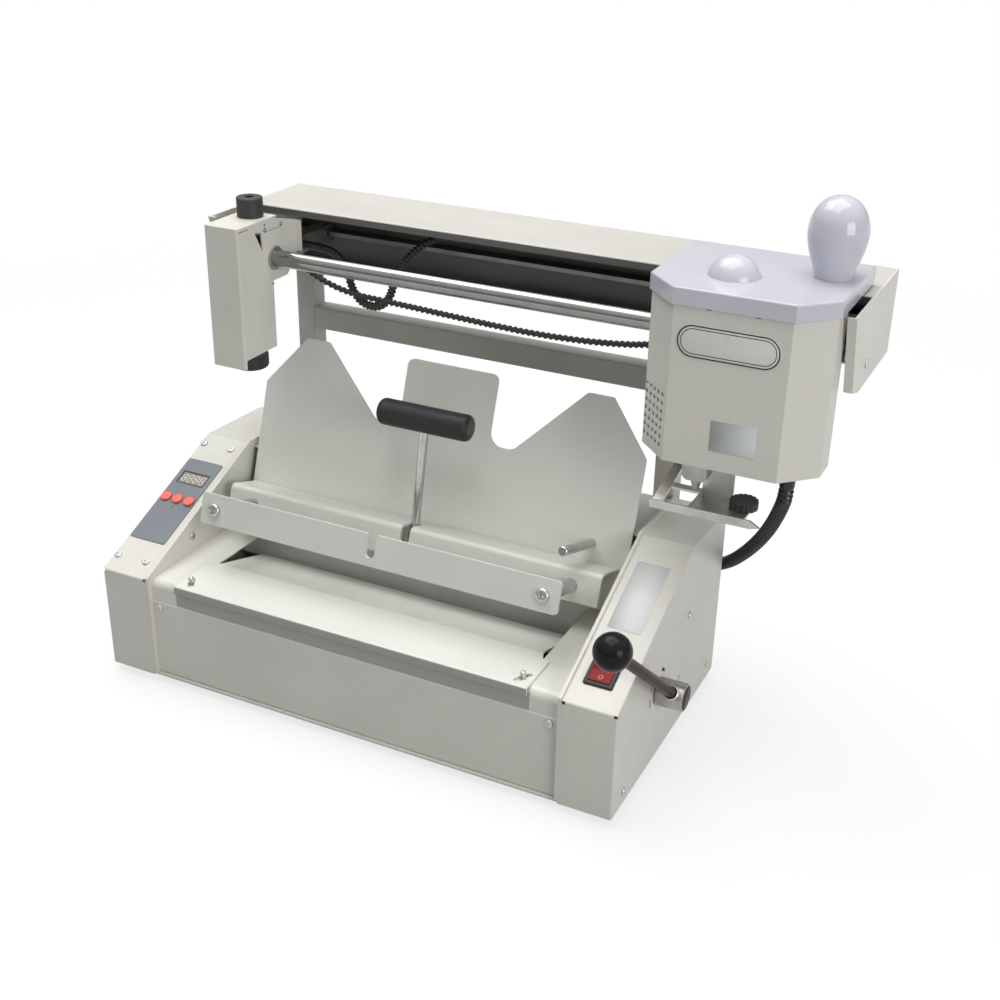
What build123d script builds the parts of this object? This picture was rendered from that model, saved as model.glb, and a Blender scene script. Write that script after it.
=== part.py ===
from build123d import *
import os
from math import atan2, cos, hypot, pi, radians, sin, tan

# Desktop binding machine. While it is modelled, X runs to the right from the middle of the base,
# Y runs back from the front face of the base and Z runs up from the underside of the base.
# write_part moves each piece so that the origin lies on the bench below the middle of the base.

# Base case
base_width = 500.0
base_depth = 252.0
housing_width = 47.0
front_height = 99.0
slope_run = 164.0
crest_height = 170.0
rear_height = 166.6
sheet = 1.5
bend = 2.0
side_plate_gauge = 3.0
side_plate_proud = 2.0
pan_gauge = 2.0
pan_flange = 22.0
front_cover_inset = 4.0
front_cover_height = 78.0
front_cover_foot = 14.0
front_cover_return = 10.0
bend_relief = 3.0
foot_height = 8.0
foot_radius = 10.0
foot_inset = 32.0
foot_chamfer = 1.5

# Case screws, measured from the edges of the faces that they sit on
screw_head = 3.4
screw_rise = 1.8
screw_radius = 1.5
screw_length = 7.0
outer_screw_edge = 4.4
inner_screw_edge = 35.6
low_screw_up = 18.4
high_screw_up = 165.0
middle_screw_back = 163.8
middle_screw_height = 103.6
rear_screw_back = 233.1
rear_screw_height = 14.4
front_screw_back = 24.8
front_screw_height = 12.0
cover_screw_edge = 8.0
cover_screw_drop = 6.0
plate_screw_back = 66.0
plate_screw_height = 113.8
beam_screw_back = 186.0
beam_screw_height = 346.0

# Table
table_height = 100.0
table_side_gap = 28.0
table_tail_step = 11.0
table_gauge = 2.0
table_front = 1.7
table_lip = 8.0
table_break = 55.0
table_tail = 119.0
table_tail_drop = 20.0
table_corner = 9.0
cover_round = 8.0
cover_reveal = 2.0
cover_opening_step = 7.0
cover_strip = 20.0
cover_flange = 12.0
cover_front_step = 1.0
cover_plate_gap = 2.0
peg_radius = 2.5
peg_step = 9.0
peg_back = 15.0
peg_proud = 6.0
peg_slot_length = 12.0
peg_slot_angle = 60.0

# Nipping lever and its cams
lever_back = 94.0
lever_height = 68.0
lever_shaft_radius = 6.0
lever_hub_radius = 9.0
lever_hub_length = 22.0
lever_arm_radius = 4.0
lever_arm_length = 190.0
lever_lean = 50.0
lever_ball_radius = 14.5
lever_ball_grip = 18.0
lever_travel = 50.0
table_lift = 5.0
cam_radius = 9.0
cam_width = 8.0
cam_step = 52.0
post_gauge = 2.0
bearing_radius = 9.0
bearing_flange = 12.0
bearing_flange_gauge = 2.0
slot_length = 11.0
slot_width = 3.0

# Clamp, all of it leaning back
clamp_lean = 19.0
plate_top_back = 203.0
plate_top_height = 272.0
plate_gauge = 2.0
plate_side_gap = 6.7
plate_length = 215.0
plate_shoulder = 47.0
hump_outer_step = 38.3
hump_inner_step = 61.8
notch_floor = 63.0
notch_floor_half = 70.0
notch_round = 13.0
tab_half = 46.0
tab_round = 7.0
plate_round = 3.0
bracket_leg = 20.0
bracket_gauge = 3.0
bracket_length = 50.0
stop_pin_radius = 4.0
stop_pin_length = 69.0
stop_pin_step = 3.0
stop_pin_drop = 127.4
jaw_side_gap = 12.5
jaw_drop = 143.4
jaw_depth = 44.0
jaw_height = 29.0
jaw_face_height = 38.0
jaw_gauge = 2.5
jaw_round = 5.0
jaw_slot_width = 9.0
jaw_slot_height = 16.0
jaw_hole_step = 6.5
jaw_hole_radius = 1.8
rod_radius = 6.0
rod_side_gap = 39.0
rod_drop = 158.9
bar_side_gap = 25.0
bar_height = 28.0
bar_gauge = 4.0
bar_front = 104.3
bar_slot_width = 9.0
bar_slot_height = 21.0
bar_screw_head = 6.0
bar_screw_rise = 3.5
bar_screw_radius = 3.0
bar_screw_length = 14.0
bar_round = 3.0

# Clamp lever on the jaw
pivot_depth = 24.0
pivot_drop = 163.7
pivot_radius = 4.0
pivot_half = 12.0
ear_gap = 8.6
ear_gauge = 3.0
ear_radius = 7.0
handle_lean = 7.5
handle_rod_radius = 4.0
handle_length = 117.0
handle_grip_radius = 12.0
handle_grip_length = 90.0

# Controls on the sloping tops
overlay_gauge = 0.8
overlay_edge = 21.1
overlay_round = 2.0
overlay_width = 38.9
overlay_low = 41.0
overlay_high = 143.5
display_width = 30.0
display_length = 15.0
display_depth = 6.0
display_up = 120.0
button_radius = 5.2
button_height = 2.2
button_depth = 6.0
button_up = 93.0
button_pitch = 13.1
rocker_edge = 25.5
rocker_up = 36.4
rocker_bezel_width = 25.0
rocker_bezel_length = 31.0
rocker_bezel_gauge = 2.0
rocker_body_width = 21.0
rocker_body_length = 27.0
rocker_body_depth = 14.0
rocker_width = 18.0
rocker_length = 23.5
rocker_tilt = 8.0
rocker_rise = 1.9
rocker_pivot_depth = 3.5
rocker_pin_radius = 1.5
rocker_well = 9.0

# Upper frame
tube = 20.0
tube_wall = 2.0
upright_step = 11.0
upright_top = 328.0
upright_foot = 10.0
crossbar_low = 263.0
crossbar_height = 22.0
beam_step = 4.0
beam_right = 364.0
beam_top = 398.0
beam_front = 190.0
beam_lip = 7.0
end_plate_gauge = 2.0
end_plate_front = 130.0
end_plate_heel = 150.0
end_plate_bottom = 334.0
end_plate_flange = 5.0
shaft_radius = 7.5
shaft_back = 155.0
shaft_height = 362.0
rail_depth = 14.0
rail_gauge = 4.0
rail_height = 358.0

# Milling head
mill_park = 16.0
mill_width = 34.5
mill_front = 102.0
mill_depth = 58.0
mill_wall_depth = 49.0
mill_top = 399.0
mill_bottom = 273.0
mill_lip = 8.0
mill_ear_back = 191.0
mill_ear_low = 342.0
mill_ear_high = 388.0
mill_ear_corner = 18.0
mill_ear_flange = 5.0
mill_screw_radius = 1.4
mill_seam = 0.8
bore_clearance = 0.06
collar_radius = 10.5
collar_proud = 1.5
carriage_back = 172.0
carriage_low = 345.0
carriage_high = 385.0
arm_width = 14.0
fork_reach = 268.0
fork_depth = 12.0
fork_height = 16.0
motor_radius = 14.0
motor_low = 290.0
motor_ledge = 6.0
motor_round = 3.0
spindle_radius = 3.0
cutter_radius = 16.0
cutter_low = 264.0
cutter_height = 12.0
cutter_back = 134.0
knob_radius = 11.5
knob_height = 17.0
knob_back = 146.0
knob_stem_radius = 4.0
knob_recess = 5.0

# Glue head
glue_left = 212.0
glue_right = 354.0
glue_front = 94.0
glue_back = 145.0
glue_chamfer = 26.0
glue_low = 275.0
vent_radius = 1.9
vent_pitch = 6.8
vent_columns = 5
vent_rows = 7
vent_low = 285.0
vent_shift = 2.1
lid_low = 400.0
lid_seat = 0.2
lid_height = 13.5
lid_overhang = 1.8
lid_back = 219.0
lid_wall = 3.0
lid_round = 1.5
dome_side = 268.0
dome_back = 140.0
dome_radius = 20.0
dome_height = 16.0
egg_side = 334.0
egg_back = 172.0
egg_foot = 14.0
egg_radius = 22.5
egg_height = 61.0
egg_belly = 34.0
pot_left = 240.0
pot_right = 318.0
pot_front = 98.0
pot_back = 141.0
pot_low = 292.0
pot_high = 390.0
pot_wall = 4.0
nozzle_side = 262.0
nozzle_back = 110.0
nozzle_low = 250.0
nozzle_radius = 5.0
nozzle_block_width = 20.0
nozzle_block_depth = 15.0
nozzle_block_height = 16.0
nozzle_bore = 1.2
post_side = 277.0
post_back = 122.0
post_width = 25.0
tray_front = 75.0
tray_low = 243.0
tray_height = 6.5
tray_left = 237.0
tray_right = 316.0
tray_tip = 8.0
tray_arm_width = 8.0
tray_arm_back = 134.0
tray_arm_rise = 14.0
tray_gauge = 2.0
turn_knob_side = 303.0
turn_knob_back = 104.0
turn_knob_radius = 11.0
turn_knob_height = 6.5
turn_knob_ribs = 16
turn_knob_pin = 2.0

# Ribbed hose, cable and slack lead
hose_radius = 6.0
hose_bore = 3.9
hose_groove = 0.9
hose_rib = 4.4
hose_side = 337.0
hose_back = 119.0
cable_radius = 3.0
cable_groove = 0.6
cable_rib = 5.2
slack_radius = 4.0
slack_groove = 0.7
slack_rib = 4.0

# Hose gland and mains inlet on the rear panel
gland_side = 126.0
gland_height = 70.0
gland_radius = 8.0
gland_flange = 11.0
gland_flange_gauge = 3.0
gland_length = 12.0
inlet_side = 120.0
inlet_height = 40.0
inlet_width = 28.0
inlet_tall = 22.0
inlet_depth = 16.0
inlet_border = 3.0
inlet_flange = 2.0
inlet_rim = 3.0

# Clearances
slip = 0.2
running = 0.05
screw_clearance = 0.1

# Worked out from the sizes above
half = base_width / 2
case_inner = half - housing_width
glue_high = lid_low - lid_seat
plate_inner = case_inner - side_plate_gauge
table_half = plate_inner - table_side_gap
table_tail_half = table_half - table_tail_step
cover_opening_half = table_half - cover_opening_step
peg_half = table_half - peg_step
cam_half = table_half - cam_step
plate_half = plate_inner - plate_side_gap
hump_outer = plate_half - hump_outer_step
hump_inner = plate_half - hump_inner_step
jaw_half = plate_inner - jaw_side_gap
bar_half = plate_inner - bar_side_gap
rod_half = plate_inner - rod_side_gap
stop_pin_side = rod_half - stop_pin_step
jaw_hole_half = rod_half + jaw_hole_step
overlay_side = half - overlay_edge
button_sides = (overlay_side + button_pitch, overlay_side, overlay_side - button_pitch)
rocker_side = half - rocker_edge
upright_side = plate_inner - upright_step
beam_left = plate_inner + beam_step
mill_left = beam_left - mill_park
mill_right = mill_width - mill_left
mill_middle = mill_width / 2 - mill_left
slope_angle = atan2(crest_height - front_height, slope_run)
crest_fall = atan2(rear_height - crest_height, base_depth - slope_run)
lean = radians(clamp_lean)

# The sloping top: its X is the machine's X and its Y climbs the slope from the front edge.
SLOPE = Plane(
    origin=(0, 0, front_height), x_dir=(1, 0, 0), z_dir=(0, -sin(slope_angle), cos(slope_angle))
)
# The clamp plate's front face: Y climbs the plate to its top edge and Z points at the user.
CLAMP = Plane(
    origin=(0, plate_top_back, plate_top_height), x_dir=(1, 0, 0), z_dir=(0, -cos(lean), sin(lean))
)


def case_top(y, inset):
    slope = front_height + y * tan(slope_angle) - inset / cos(slope_angle)
    crest = crest_height + (y - slope_run) * tan(crest_fall) - inset / cos(crest_fall)
    return min(slope, crest)


def case_knee(inset):
    rise = tan(slope_angle) - tan(crest_fall)
    drop = inset / cos(slope_angle) - inset / cos(crest_fall)
    return (crest_height - slope_run * tan(crest_fall) - front_height + drop) / rise


def case_outline(inset_front, inset_top, inset_back, bottom):
    back = base_depth - inset_back
    knee = case_knee(inset_top)
    return [
        (inset_front, bottom),
        (inset_front, case_top(inset_front, inset_top)),
        (knee, case_top(knee, inset_top)),
        (back, case_top(back, inset_top)),
        (back, bottom),
    ]


# A (y, z) outline drawn out along X
def prism_x(points, x0, x1):
    face = Plane.YZ * make_face(Polyline(*points, close=True))
    return Pos(x0, 0, 0) * extrude(face, x1 - x0, dir=(1, 0, 0))


# An (x, y) outline drawn up along Z
def prism_z(points, z0, z1):
    face = make_face(Polyline(*points, close=True))
    return Pos(0, 0, z0) * extrude(face, z1 - z0, dir=(0, 0, 1))


# A box given by its low and high corners
def block(low, high):
    size = [high[i] - low[i] for i in range(3)]
    middle = [(high[i] + low[i]) / 2 for i in range(3)]
    return Pos(*middle) * Box(*size)


def rod_x(radius, x0, x1, y, z):
    return Pos((x0 + x1) / 2, y, z) * Rot(0, 90, 0) * Cylinder(radius, x1 - x0)


def rod_z(radius, z0, z1, x, y):
    return Pos(x, y, (z0 + z1) / 2) * Cylinder(radius, z1 - z0)


# A sheet folded about X: the outer side follows the points, the gauge lies on one side of them
def folded_x(points, gauge, x0, x1, side=Side.LEFT):
    path = FilletPolyline(*points, radius=bend)
    section = make_face(offset(path, amount=gauge, side=side))
    return Pos(x0, 0, 0) * extrude(Plane.YZ * section, x1 - x0, dir=(1, 0, 0))


def mirrored(solid):
    return mirror(solid, about=Plane.YZ)


def pan_screw(head_radius, head_height, shank_radius, shank_length):
    head = Pos(0, 0, head_height / 2) * Cylinder(head_radius, head_height)
    head = fillet(head.edges().group_by(Axis.Z)[-1], head_height * 0.6)
    cross = Box(head_radius * 1.1, head_height * 0.4, head_height * 0.5)
    drive = cross + Rot(0, 0, 90) * cross
    head -= Pos(0, 0, head_height * 0.8) * drive
    return head + Pos(0, 0, -shank_length / 2) * Cylinder(shank_radius, shank_length)


# Where each case screw sits, with Z pointing out of the sheet
def slope_screw_places():
    sides = (half - outer_screw_edge, half - inner_screw_edge)
    return [SLOPE * Pos(-x, up, 0) for x in sides for up in (low_screw_up, high_screw_up)]


def side_screw_places():
    spots = (
        (middle_screw_back, middle_screw_height),
        (rear_screw_back, rear_screw_height),
        (front_screw_back, front_screw_height),
    )
    return [Pos(hand * half, y, z) * Rot(0, hand * 90, 0) for hand in (-1, 1) for y, z in spots]


def front_screw_places():
    side = plate_inner - cover_screw_edge
    z = front_cover_height - cover_screw_drop
    return [Pos(x, front_cover_inset, z) * Rot(90, 0, 0) for x in (-side, side)]


# Screws through the side plates, seen from between them
def plate_screw_places():
    y = plate_screw_back
    z = plate_screw_height
    return [Pos(hand * plate_inner, y, z) * Rot(0, -hand * 90, 0) for hand in (-1, 1)]


def beam_screw_places():
    ends = ((-1, beam_left), (1, beam_right))
    return [Pos(hand * x, beam_screw_back, beam_screw_height) * Rot(0, hand * 90, 0) for hand, x in ends]


def bore_screws(solid, places):
    hole = Cylinder(screw_radius + screw_clearance, 2 * screw_length)
    for place in places:
        solid -= place * hole
    return solid


def make_case_screws():
    places = slope_screw_places() + side_screw_places() + front_screw_places()
    places += plate_screw_places() + beam_screw_places()
    screw = pan_screw(screw_head, screw_rise, screw_radius, screw_length)
    return [place * screw for place in places]


def make_base_pan():
    side = half - sheet - slip
    front = sheet + slip
    back = base_depth - sheet - slip
    pan = block((-side, front, 0), (side, back, pan_gauge))
    wall = block((side - pan_gauge, front, 0), (side, back, pan_flange))
    pan += wall + mirrored(wall)
    return bore_screws(pan, side_screw_places())


def foot_places():
    side = half - foot_inset
    return [(x, y) for x in (-side, side) for y in (foot_inset, base_depth - foot_inset)]


def make_feet():
    foot = Cylinder(foot_radius, foot_height, align=(Align.CENTER, Align.CENTER, Align.MAX))
    foot = chamfer(foot.edges().group_by(Axis.Z)[0], foot_chamfer)
    return [Pos(x, y, 0) * foot for x, y in foot_places()]


def make_side_plate():
    outline = case_outline(0, -side_plate_proud, sheet + slip, pan_gauge)
    plate = prism_x(outline, plate_inner, case_inner)
    plate -= rod_x(bearing_radius, 0, base_width, lever_back, lever_height)
    return bore_screws(plate, plate_screw_places())


def housing_shell():
    outer = prism_x(case_outline(0, 0, 0, 0), case_inner, half)
    along = outer.edges().filter_by(Axis.X)
    outer = fillet(along.filter_by(lambda e: e.center().Z > front_height / 2), bend)
    rim = outer.faces().sort_by(Axis.X)[-1].edges()
    outer = fillet(rim.filter_by(lambda e: e.center().Z > sheet), sheet * 0.8)
    inner = prism_x(case_outline(sheet, sheet, sheet, -sheet), case_inner - sheet, half - sheet)
    shell = outer - inner
    relief = Box(bend_relief, bend_relief, bend_relief)
    for x in (case_inner + bend_relief / 2, half - bend_relief / 2):
        shell -= Pos(x, bend_relief / 2, front_height - bend_relief / 2) * relief
    return shell


def make_right_housing():
    shell = housing_shell()
    shell -= rod_x(lever_shaft_radius + slip, case_inner, base_width, lever_back, lever_height)
    body = Box(rocker_body_width + slip, rocker_body_length + slip, 4 * sheet)
    shell -= SLOPE * Pos(rocker_side, rocker_up, 0) * body
    shell -= hub_slots()
    return bore_screws(shell, side_screw_places())


# Three short slots round the lever hub and one behind it, each turned its own way
def hub_slots():
    ring = 2 * bearing_radius - slip
    spots = ((ring, 50), (ring, 138), (ring, 192), (3.3 * ring, -22))
    slots = []
    for reach, angle in spots:
        y = lever_back + reach * cos(radians(angle))
        z = lever_height + reach * sin(radians(angle))
        slot = extrude(SlotOverall(slot_length, slot_width), 2 * sheet, both=True)
        slots.append(Pos(half, y, z) * Rot(0, 90, 0) * Rot(0, 0, angle) * slot)
    return slots


def make_left_housing():
    shell = mirrored(housing_shell())
    window = Box(display_width + slip, display_length + slip, 4 * sheet)
    shell -= SLOPE * Pos(-overlay_side, display_up, 0) * window
    for side in button_sides:
        hole = Cylinder(button_radius + slip, 4 * sheet)
        shell -= SLOPE * Pos(-side, button_up, 0) * hole
    return bore_screws(shell, slope_screw_places() + side_screw_places())


def make_front_cover():
    y = front_cover_inset
    low = pan_gauge
    high = front_cover_height
    points = [(y + front_cover_foot, low), (y, low), (y, high), (y + front_cover_return, high)]
    cover = folded_x(points, sheet, -plate_inner, plate_inner, Side.RIGHT)
    return bore_screws(cover, front_screw_places())


def make_rear_panel():
    back = base_depth
    high = case_top(back, 0) - bend
    reach = plate_top_back - (plate_top_height - high) * tan(lean)
    points = [(back, pan_gauge), (back, high), (reach + 4, high)]
    panel = folded_x(points, sheet, -plate_inner, plate_inner, Side.LEFT)
    panel -= Pos(-inlet_side, back, inlet_height) * Box(inlet_width, 4 * sheet, inlet_tall)
    mouth = Pos(gland_side, back, gland_height) * Rot(90, 0, 0)
    panel -= mouth * Cylinder(gland_radius + slip, 4 * sheet)
    return panel


def make_table_cover():
    y = front_cover_inset + cover_front_step
    high = table_height - cover_reveal
    reach = plate_top_back - (plate_top_height - high) * tan(lean) - cover_plate_gap
    points = [(y, front_cover_height), (y, high), (reach, high)]
    path = FilletPolyline(*points, radius=cover_round)
    section = make_face(offset(path, amount=sheet, side=Side.RIGHT))
    cover = Pos(-plate_inner, 0, 0) * extrude(Plane.YZ * section, 2 * plate_inner, dir=(1, 0, 0))
    cover -= block((-cover_opening_half, cover_strip, 0), (cover_opening_half, 2 * reach, high * 2))
    flange = block((plate_inner - sheet, cover_strip, high - cover_flange), (plate_inner, reach, high))
    cover += flange + mirrored(flange)
    for x in (-peg_half, peg_half):
        cover -= rod_z(peg_radius + running, 0, 2 * high, x, peg_back)
    return cover


def make_table_pegs():
    high = table_height + peg_proud
    low = table_height - cover_reveal - sheet - 6
    peg = rod_z(peg_radius, low, high, 0, peg_back)
    peg = fillet(peg.edges().group_by(Axis.Z)[-1], peg_radius * 0.8)
    nut_top = table_height - cover_reveal - sheet - 2 * slip
    nut = rod_z(peg_radius * 1.4, nut_top - 3, nut_top, 0, peg_back)
    return [Pos(x, 0, 0) * (peg + nut) for x in (-peg_half, peg_half)]


def make_table_plate():
    points = [
        (table_front, table_height - table_lip),
        (table_front, table_height),
        (table_break, table_height),
        (table_tail, table_height - table_tail_drop),
    ]
    plate = folded_x(points, table_gauge, -table_half, table_half, Side.RIGHT)
    start = table_break - table_corner
    beyond = table_half + table_corner
    corner = [
        (beyond, start),
        (table_half, start),
        (cover_opening_half, start + table_corner / 4),
        (table_tail_half, table_break + table_corner / 2),
        (table_tail_half, 2 * table_tail),
        (beyond, 2 * table_tail),
    ]
    cut = prism_z(corner, 0, 2 * table_height)
    plate -= cut
    plate -= mirrored(cut)
    slot = SlotCenterPoint((0, 0), (peg_slot_length / 2, 0), 2 * (peg_radius + slip))
    slot = Pos(peg_half, peg_back, table_height) * Rot(0, 0, peg_slot_angle) * extrude(
        slot, table_gauge * 2, both=True
    )
    plate -= slot
    plate -= mirrored(slot)
    return plate


# The underside of the table's sloping tail above a given point
def tail_underside(y):
    fall = table_tail_drop / (table_tail - table_break)
    thick = table_gauge * hypot(1, fall)
    return table_height - (y - table_break) * fall - thick


# Follower blades that stand on the cams and carry the table
def make_table_posts():
    foot = lever_height + cam_radius + slip
    y0 = lever_back - post_gauge / 2
    y1 = lever_back + post_gauge / 2
    points = [
        (y0, foot + post_gauge / 2),
        (y0, tail_underside(y0)),
        (y1, tail_underside(y1)),
        (y1, foot + post_gauge / 2),
    ]
    wide = 3 * cam_width
    blade = prism_x(points, -wide / 2, wide / 2)
    tip = rod_x(post_gauge / 2, -wide / 2, wide / 2, lever_back, foot + post_gauge / 2)
    blade += tip
    return [Pos(x, 0, 0) * blade for x in (-cam_half, cam_half)]


# A cam whose radius grows evenly with the angle that the lever turns
def make_lift_cams():
    per_radian = table_lift / radians(lever_travel)
    margin = 15
    first = -margin
    last = lever_travel + margin
    steps = 12
    points = []
    for i in range(steps + 1):
        angle = radians(first + (last - first) * i / steps)
        radius = cam_radius + per_radian * angle
        points.append((radius * sin(angle), radius * cos(angle)))
    spiral = Spline(*points)
    start = points[0]
    end = points[-1]
    heel = ThreePointArc(end, (0, -cam_radius), start)
    cam = extrude(Plane.YZ * make_face([spiral, heel]), cam_width / 2, both=True)
    cam -= Rot(0, 90, 0) * Cylinder(lever_shaft_radius, 2 * cam_width)
    place = Pos(0, lever_back, lever_height)
    return [Pos(x, 0, 0) * place * cam for x in (-cam_half, cam_half)]


def make_shaft_bearings():
    outer = rod_x(bearing_radius, plate_inner, case_inner, lever_back, lever_height)
    flange_end = plate_inner - bearing_flange_gauge
    outer += rod_x(bearing_flange, flange_end, plate_inner, lever_back, lever_height)
    outer -= rod_x(lever_shaft_radius + running, 0, base_width, lever_back, lever_height)
    return [outer, mirrored(outer)]


def make_lever_shaft():
    left = -case_inner - 5
    right = half + slip + lever_hub_length * 0.6
    return rod_x(lever_shaft_radius, left, right, lever_back, lever_height)


def arm_place():
    side = half + slip + lever_hub_length * 0.52
    return Pos(side, lever_back, lever_height) * Rot(lever_lean, 0, 0)


def make_lever_hub():
    start = half + slip
    hub = rod_x(lever_hub_radius, start, start + lever_hub_length, lever_back, lever_height)
    hub = chamfer(hub.edges().filter_by(GeomType.CIRCLE).group_by(Axis.X)[-1], 1.2)
    hub -= make_lever_shaft()
    hub -= arm_place() * Pos(0, 0, lever_hub_radius) * Cylinder(lever_arm_radius, 6)
    return hub


def make_lever_arm():
    seat = lever_hub_radius - 3
    end = lever_arm_length - lever_ball_radius + lever_ball_grip
    arm = Pos(0, 0, (seat + end) / 2) * Cylinder(lever_arm_radius, end - seat)
    return arm_place() * arm


def make_lever_ball():
    ball = Sphere(lever_ball_radius)
    collar = Pos(0, 0, -lever_ball_radius + 1.5) * Cone(
        lever_arm_radius * 1.6, lever_ball_radius * 0.72, 7
    )
    ball += collar
    end = lever_ball_grip - lever_ball_radius
    low = -lever_ball_radius - 6
    ball -= Pos(0, 0, (low + end) / 2) * Cylinder(lever_arm_radius, end - low)
    return arm_place() * Pos(0, 0, lever_arm_length) * ball


def make_back_plate():
    outline = [
        (-tab_half, 0), (tab_half, 0), (tab_half, -notch_floor), (notch_floor_half, -notch_floor),
        (hump_inner, 0), (hump_outer, 0), (plate_half, -plate_shoulder), (plate_half, -plate_length),
        (-plate_half, -plate_length), (-plate_half, -plate_shoulder), (-hump_outer, 0),
        (-hump_inner, 0), (-notch_floor_half, -notch_floor), (-tab_half, -notch_floor),
    ]
    face = make_face(Polyline(*outline, close=True))
    corners = face.vertices()
    face = fillet(corners.filter_by(lambda v: abs(abs(v.X) - tab_half) < 1 and v.Y > -1), tab_round)
    corners = face.vertices()
    face = fillet(
        corners.filter_by(lambda v: abs(v.Y + notch_floor) < 1 and abs(v.X) < hump_inner), notch_round
    )
    corners = face.vertices()
    face = fillet(
        corners.filter_by(lambda v: abs(v.X) > hump_inner - 1 and v.Y > -plate_shoulder - 1), plate_round
    )
    return CLAMP * extrude(face, plate_gauge, dir=(0, 0, -1))


def make_plate_brackets():
    top = -plate_length + bracket_length
    low = -plate_length
    back = -plate_gauge - bracket_gauge
    on_plate = block((plate_inner - bracket_leg, low, back), (plate_inner, top, -plate_gauge))
    on_side = block((plate_inner - bracket_gauge, low, -bracket_leg), (plate_inner, top, back))
    angle = CLAMP * (on_plate + on_side)
    return [angle, mirrored(angle)]


def make_stop_pin():
    pin = Cylinder(stop_pin_radius, stop_pin_length, align=(Align.CENTER, Align.CENTER, Align.MIN))
    pin = chamfer(pin.edges().group_by(Axis.Z)[-1], 0.6)
    return CLAMP * Pos(stop_pin_side, -stop_pin_drop, 0) * pin


def bar_back():
    return bar_front - bar_gauge


def make_guide_rods():
    length = bar_back()
    rod = Cylinder(rod_radius, length, align=(Align.CENTER, Align.CENTER, Align.MIN))
    seat = 2 * (bar_screw_length - bar_gauge + slip)
    rod -= Pos(0, 0, length) * Cylinder(bar_screw_radius, seat)
    return [CLAMP * Pos(x, -rod_drop, 0) * rod for x in (-rod_half, rod_half)]


def make_press_bar():
    middle = -rod_drop
    bar = block(
        (-bar_half, middle - bar_height / 2, bar_back()), (bar_half, middle + bar_height / 2, bar_front)
    )
    bar = fillet(bar.edges().filter_by(Axis.Z), bar_round)
    top = middle + bar_height / 2
    floor_y = top - bar_slot_height + bar_slot_width / 2
    slot = block((-bar_slot_width / 2, floor_y, 0), (bar_slot_width / 2, top + 5, 2 * bar_front))
    slot += Pos(0, floor_y, bar_front) * Cylinder(bar_slot_width / 2, bar_front)
    bar -= slot
    for x in (-rod_half, rod_half):
        bar -= Pos(x, middle, bar_front) * Cylinder(bar_screw_radius + screw_clearance, 4 * bar_gauge)
    return CLAMP * bar


def make_press_bar_screws():
    screw = pan_screw(bar_screw_head, bar_screw_rise, bar_screw_radius, bar_screw_length)
    return [CLAMP * Pos(x, -rod_drop, bar_front) * screw for x in (-rod_half, rod_half)]


# The jaw is an inverted channel: its rear wall presses on the book, its top carries the lever
def make_clamp_jaw():
    rear = slip
    front = jaw_depth
    points = [(jaw_face_height, rear), (0, rear), (0, front), (jaw_height, front)]
    outline = [(-y, z) for y, z in points]
    path = FilletPolyline(*outline, radius=jaw_round)
    section = make_face(offset(path, amount=jaw_gauge, side=Side.LEFT))
    channel = Pos(-jaw_half, 0, 0) * extrude(Plane.YZ * section, 2 * jaw_half, dir=(1, 0, 0))
    ear = jaw_ear()
    for x in (-ear_gap / 2 - ear_gauge / 2, ear_gap / 2 + ear_gauge / 2):
        channel += Pos(x, 0, 0) * ear
    half_slot = jaw_slot_width / 2
    floor_y = -jaw_slot_height + half_slot
    slot = block((-half_slot, floor_y, pivot_depth - 3), (half_slot, 10, 2 * jaw_depth))
    slot += Pos(0, floor_y, front) * Cylinder(half_slot, 4 * jaw_gauge)
    channel -= slot
    local_rod = jaw_drop - rod_drop
    for x in (-rod_half, rod_half):
        channel -= Pos(x, local_rod, 0) * Cylinder(rod_radius + running, 3 * jaw_depth)
    for x in (-jaw_hole_half, jaw_hole_half):
        channel -= Pos(x, -jaw_gauge, front * 0.75) * Rot(90, 0, 0) * Cylinder(jaw_hole_radius, 10)
    return CLAMP * Pos(0, -jaw_drop, 0) * channel


def jaw_ear():
    drop = jaw_drop - pivot_drop
    plate = block(
        (-ear_gauge / 2, drop, pivot_depth - ear_radius),
        (ear_gauge / 2, -jaw_gauge, pivot_depth + ear_radius),
    )
    boss = Pos(0, drop, pivot_depth) * Rot(0, 90, 0)
    plate += boss * Cylinder(ear_radius, ear_gauge)
    return plate - boss * Cylinder(pivot_radius + running, 2 * ear_gauge)


def handle_place():
    return CLAMP * Pos(0, -pivot_drop, pivot_depth) * Rot(handle_lean, 0, 0) * Rot(-90, 0, 0)


def make_clamp_lever_rod():
    end = handle_length - handle_grip_radius + 8
    rod = Cylinder(handle_rod_radius, end, align=(Align.CENTER, Align.CENTER, Align.MIN))
    rod += Rot(0, 90, 0) * Cylinder(pivot_radius, 2 * pivot_half)
    return handle_place() * rod


def make_clamp_lever_grip():
    grip = Rot(0, 90, 0) * Cylinder(handle_grip_radius, handle_grip_length)
    grip = fillet(grip.edges().filter_by(GeomType.CIRCLE), 5)
    grip -= Pos(0, 0, -handle_grip_radius / 2 - 2) * Cylinder(handle_rod_radius, handle_grip_radius)
    return handle_place() * Pos(0, 0, handle_length) * grip


def make_panel_overlay():
    length = overlay_high - overlay_low
    plate = Pos(0, (overlay_low + overlay_high) / 2, overlay_gauge / 2) * Box(
        overlay_width, length, overlay_gauge
    )
    plate = fillet(plate.edges().filter_by(Axis.Z), overlay_round)
    plate = Pos(-overlay_side, 0, 0) * plate
    through = 4 * overlay_gauge
    window = Box(display_width + slip, display_length + slip, through)
    plate -= Pos(-overlay_side, display_up, 0) * window
    for side in button_sides:
        plate -= Pos(-side, button_up, 0) * Cylinder(button_radius + slip, through)
    return SLOPE * plate


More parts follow.
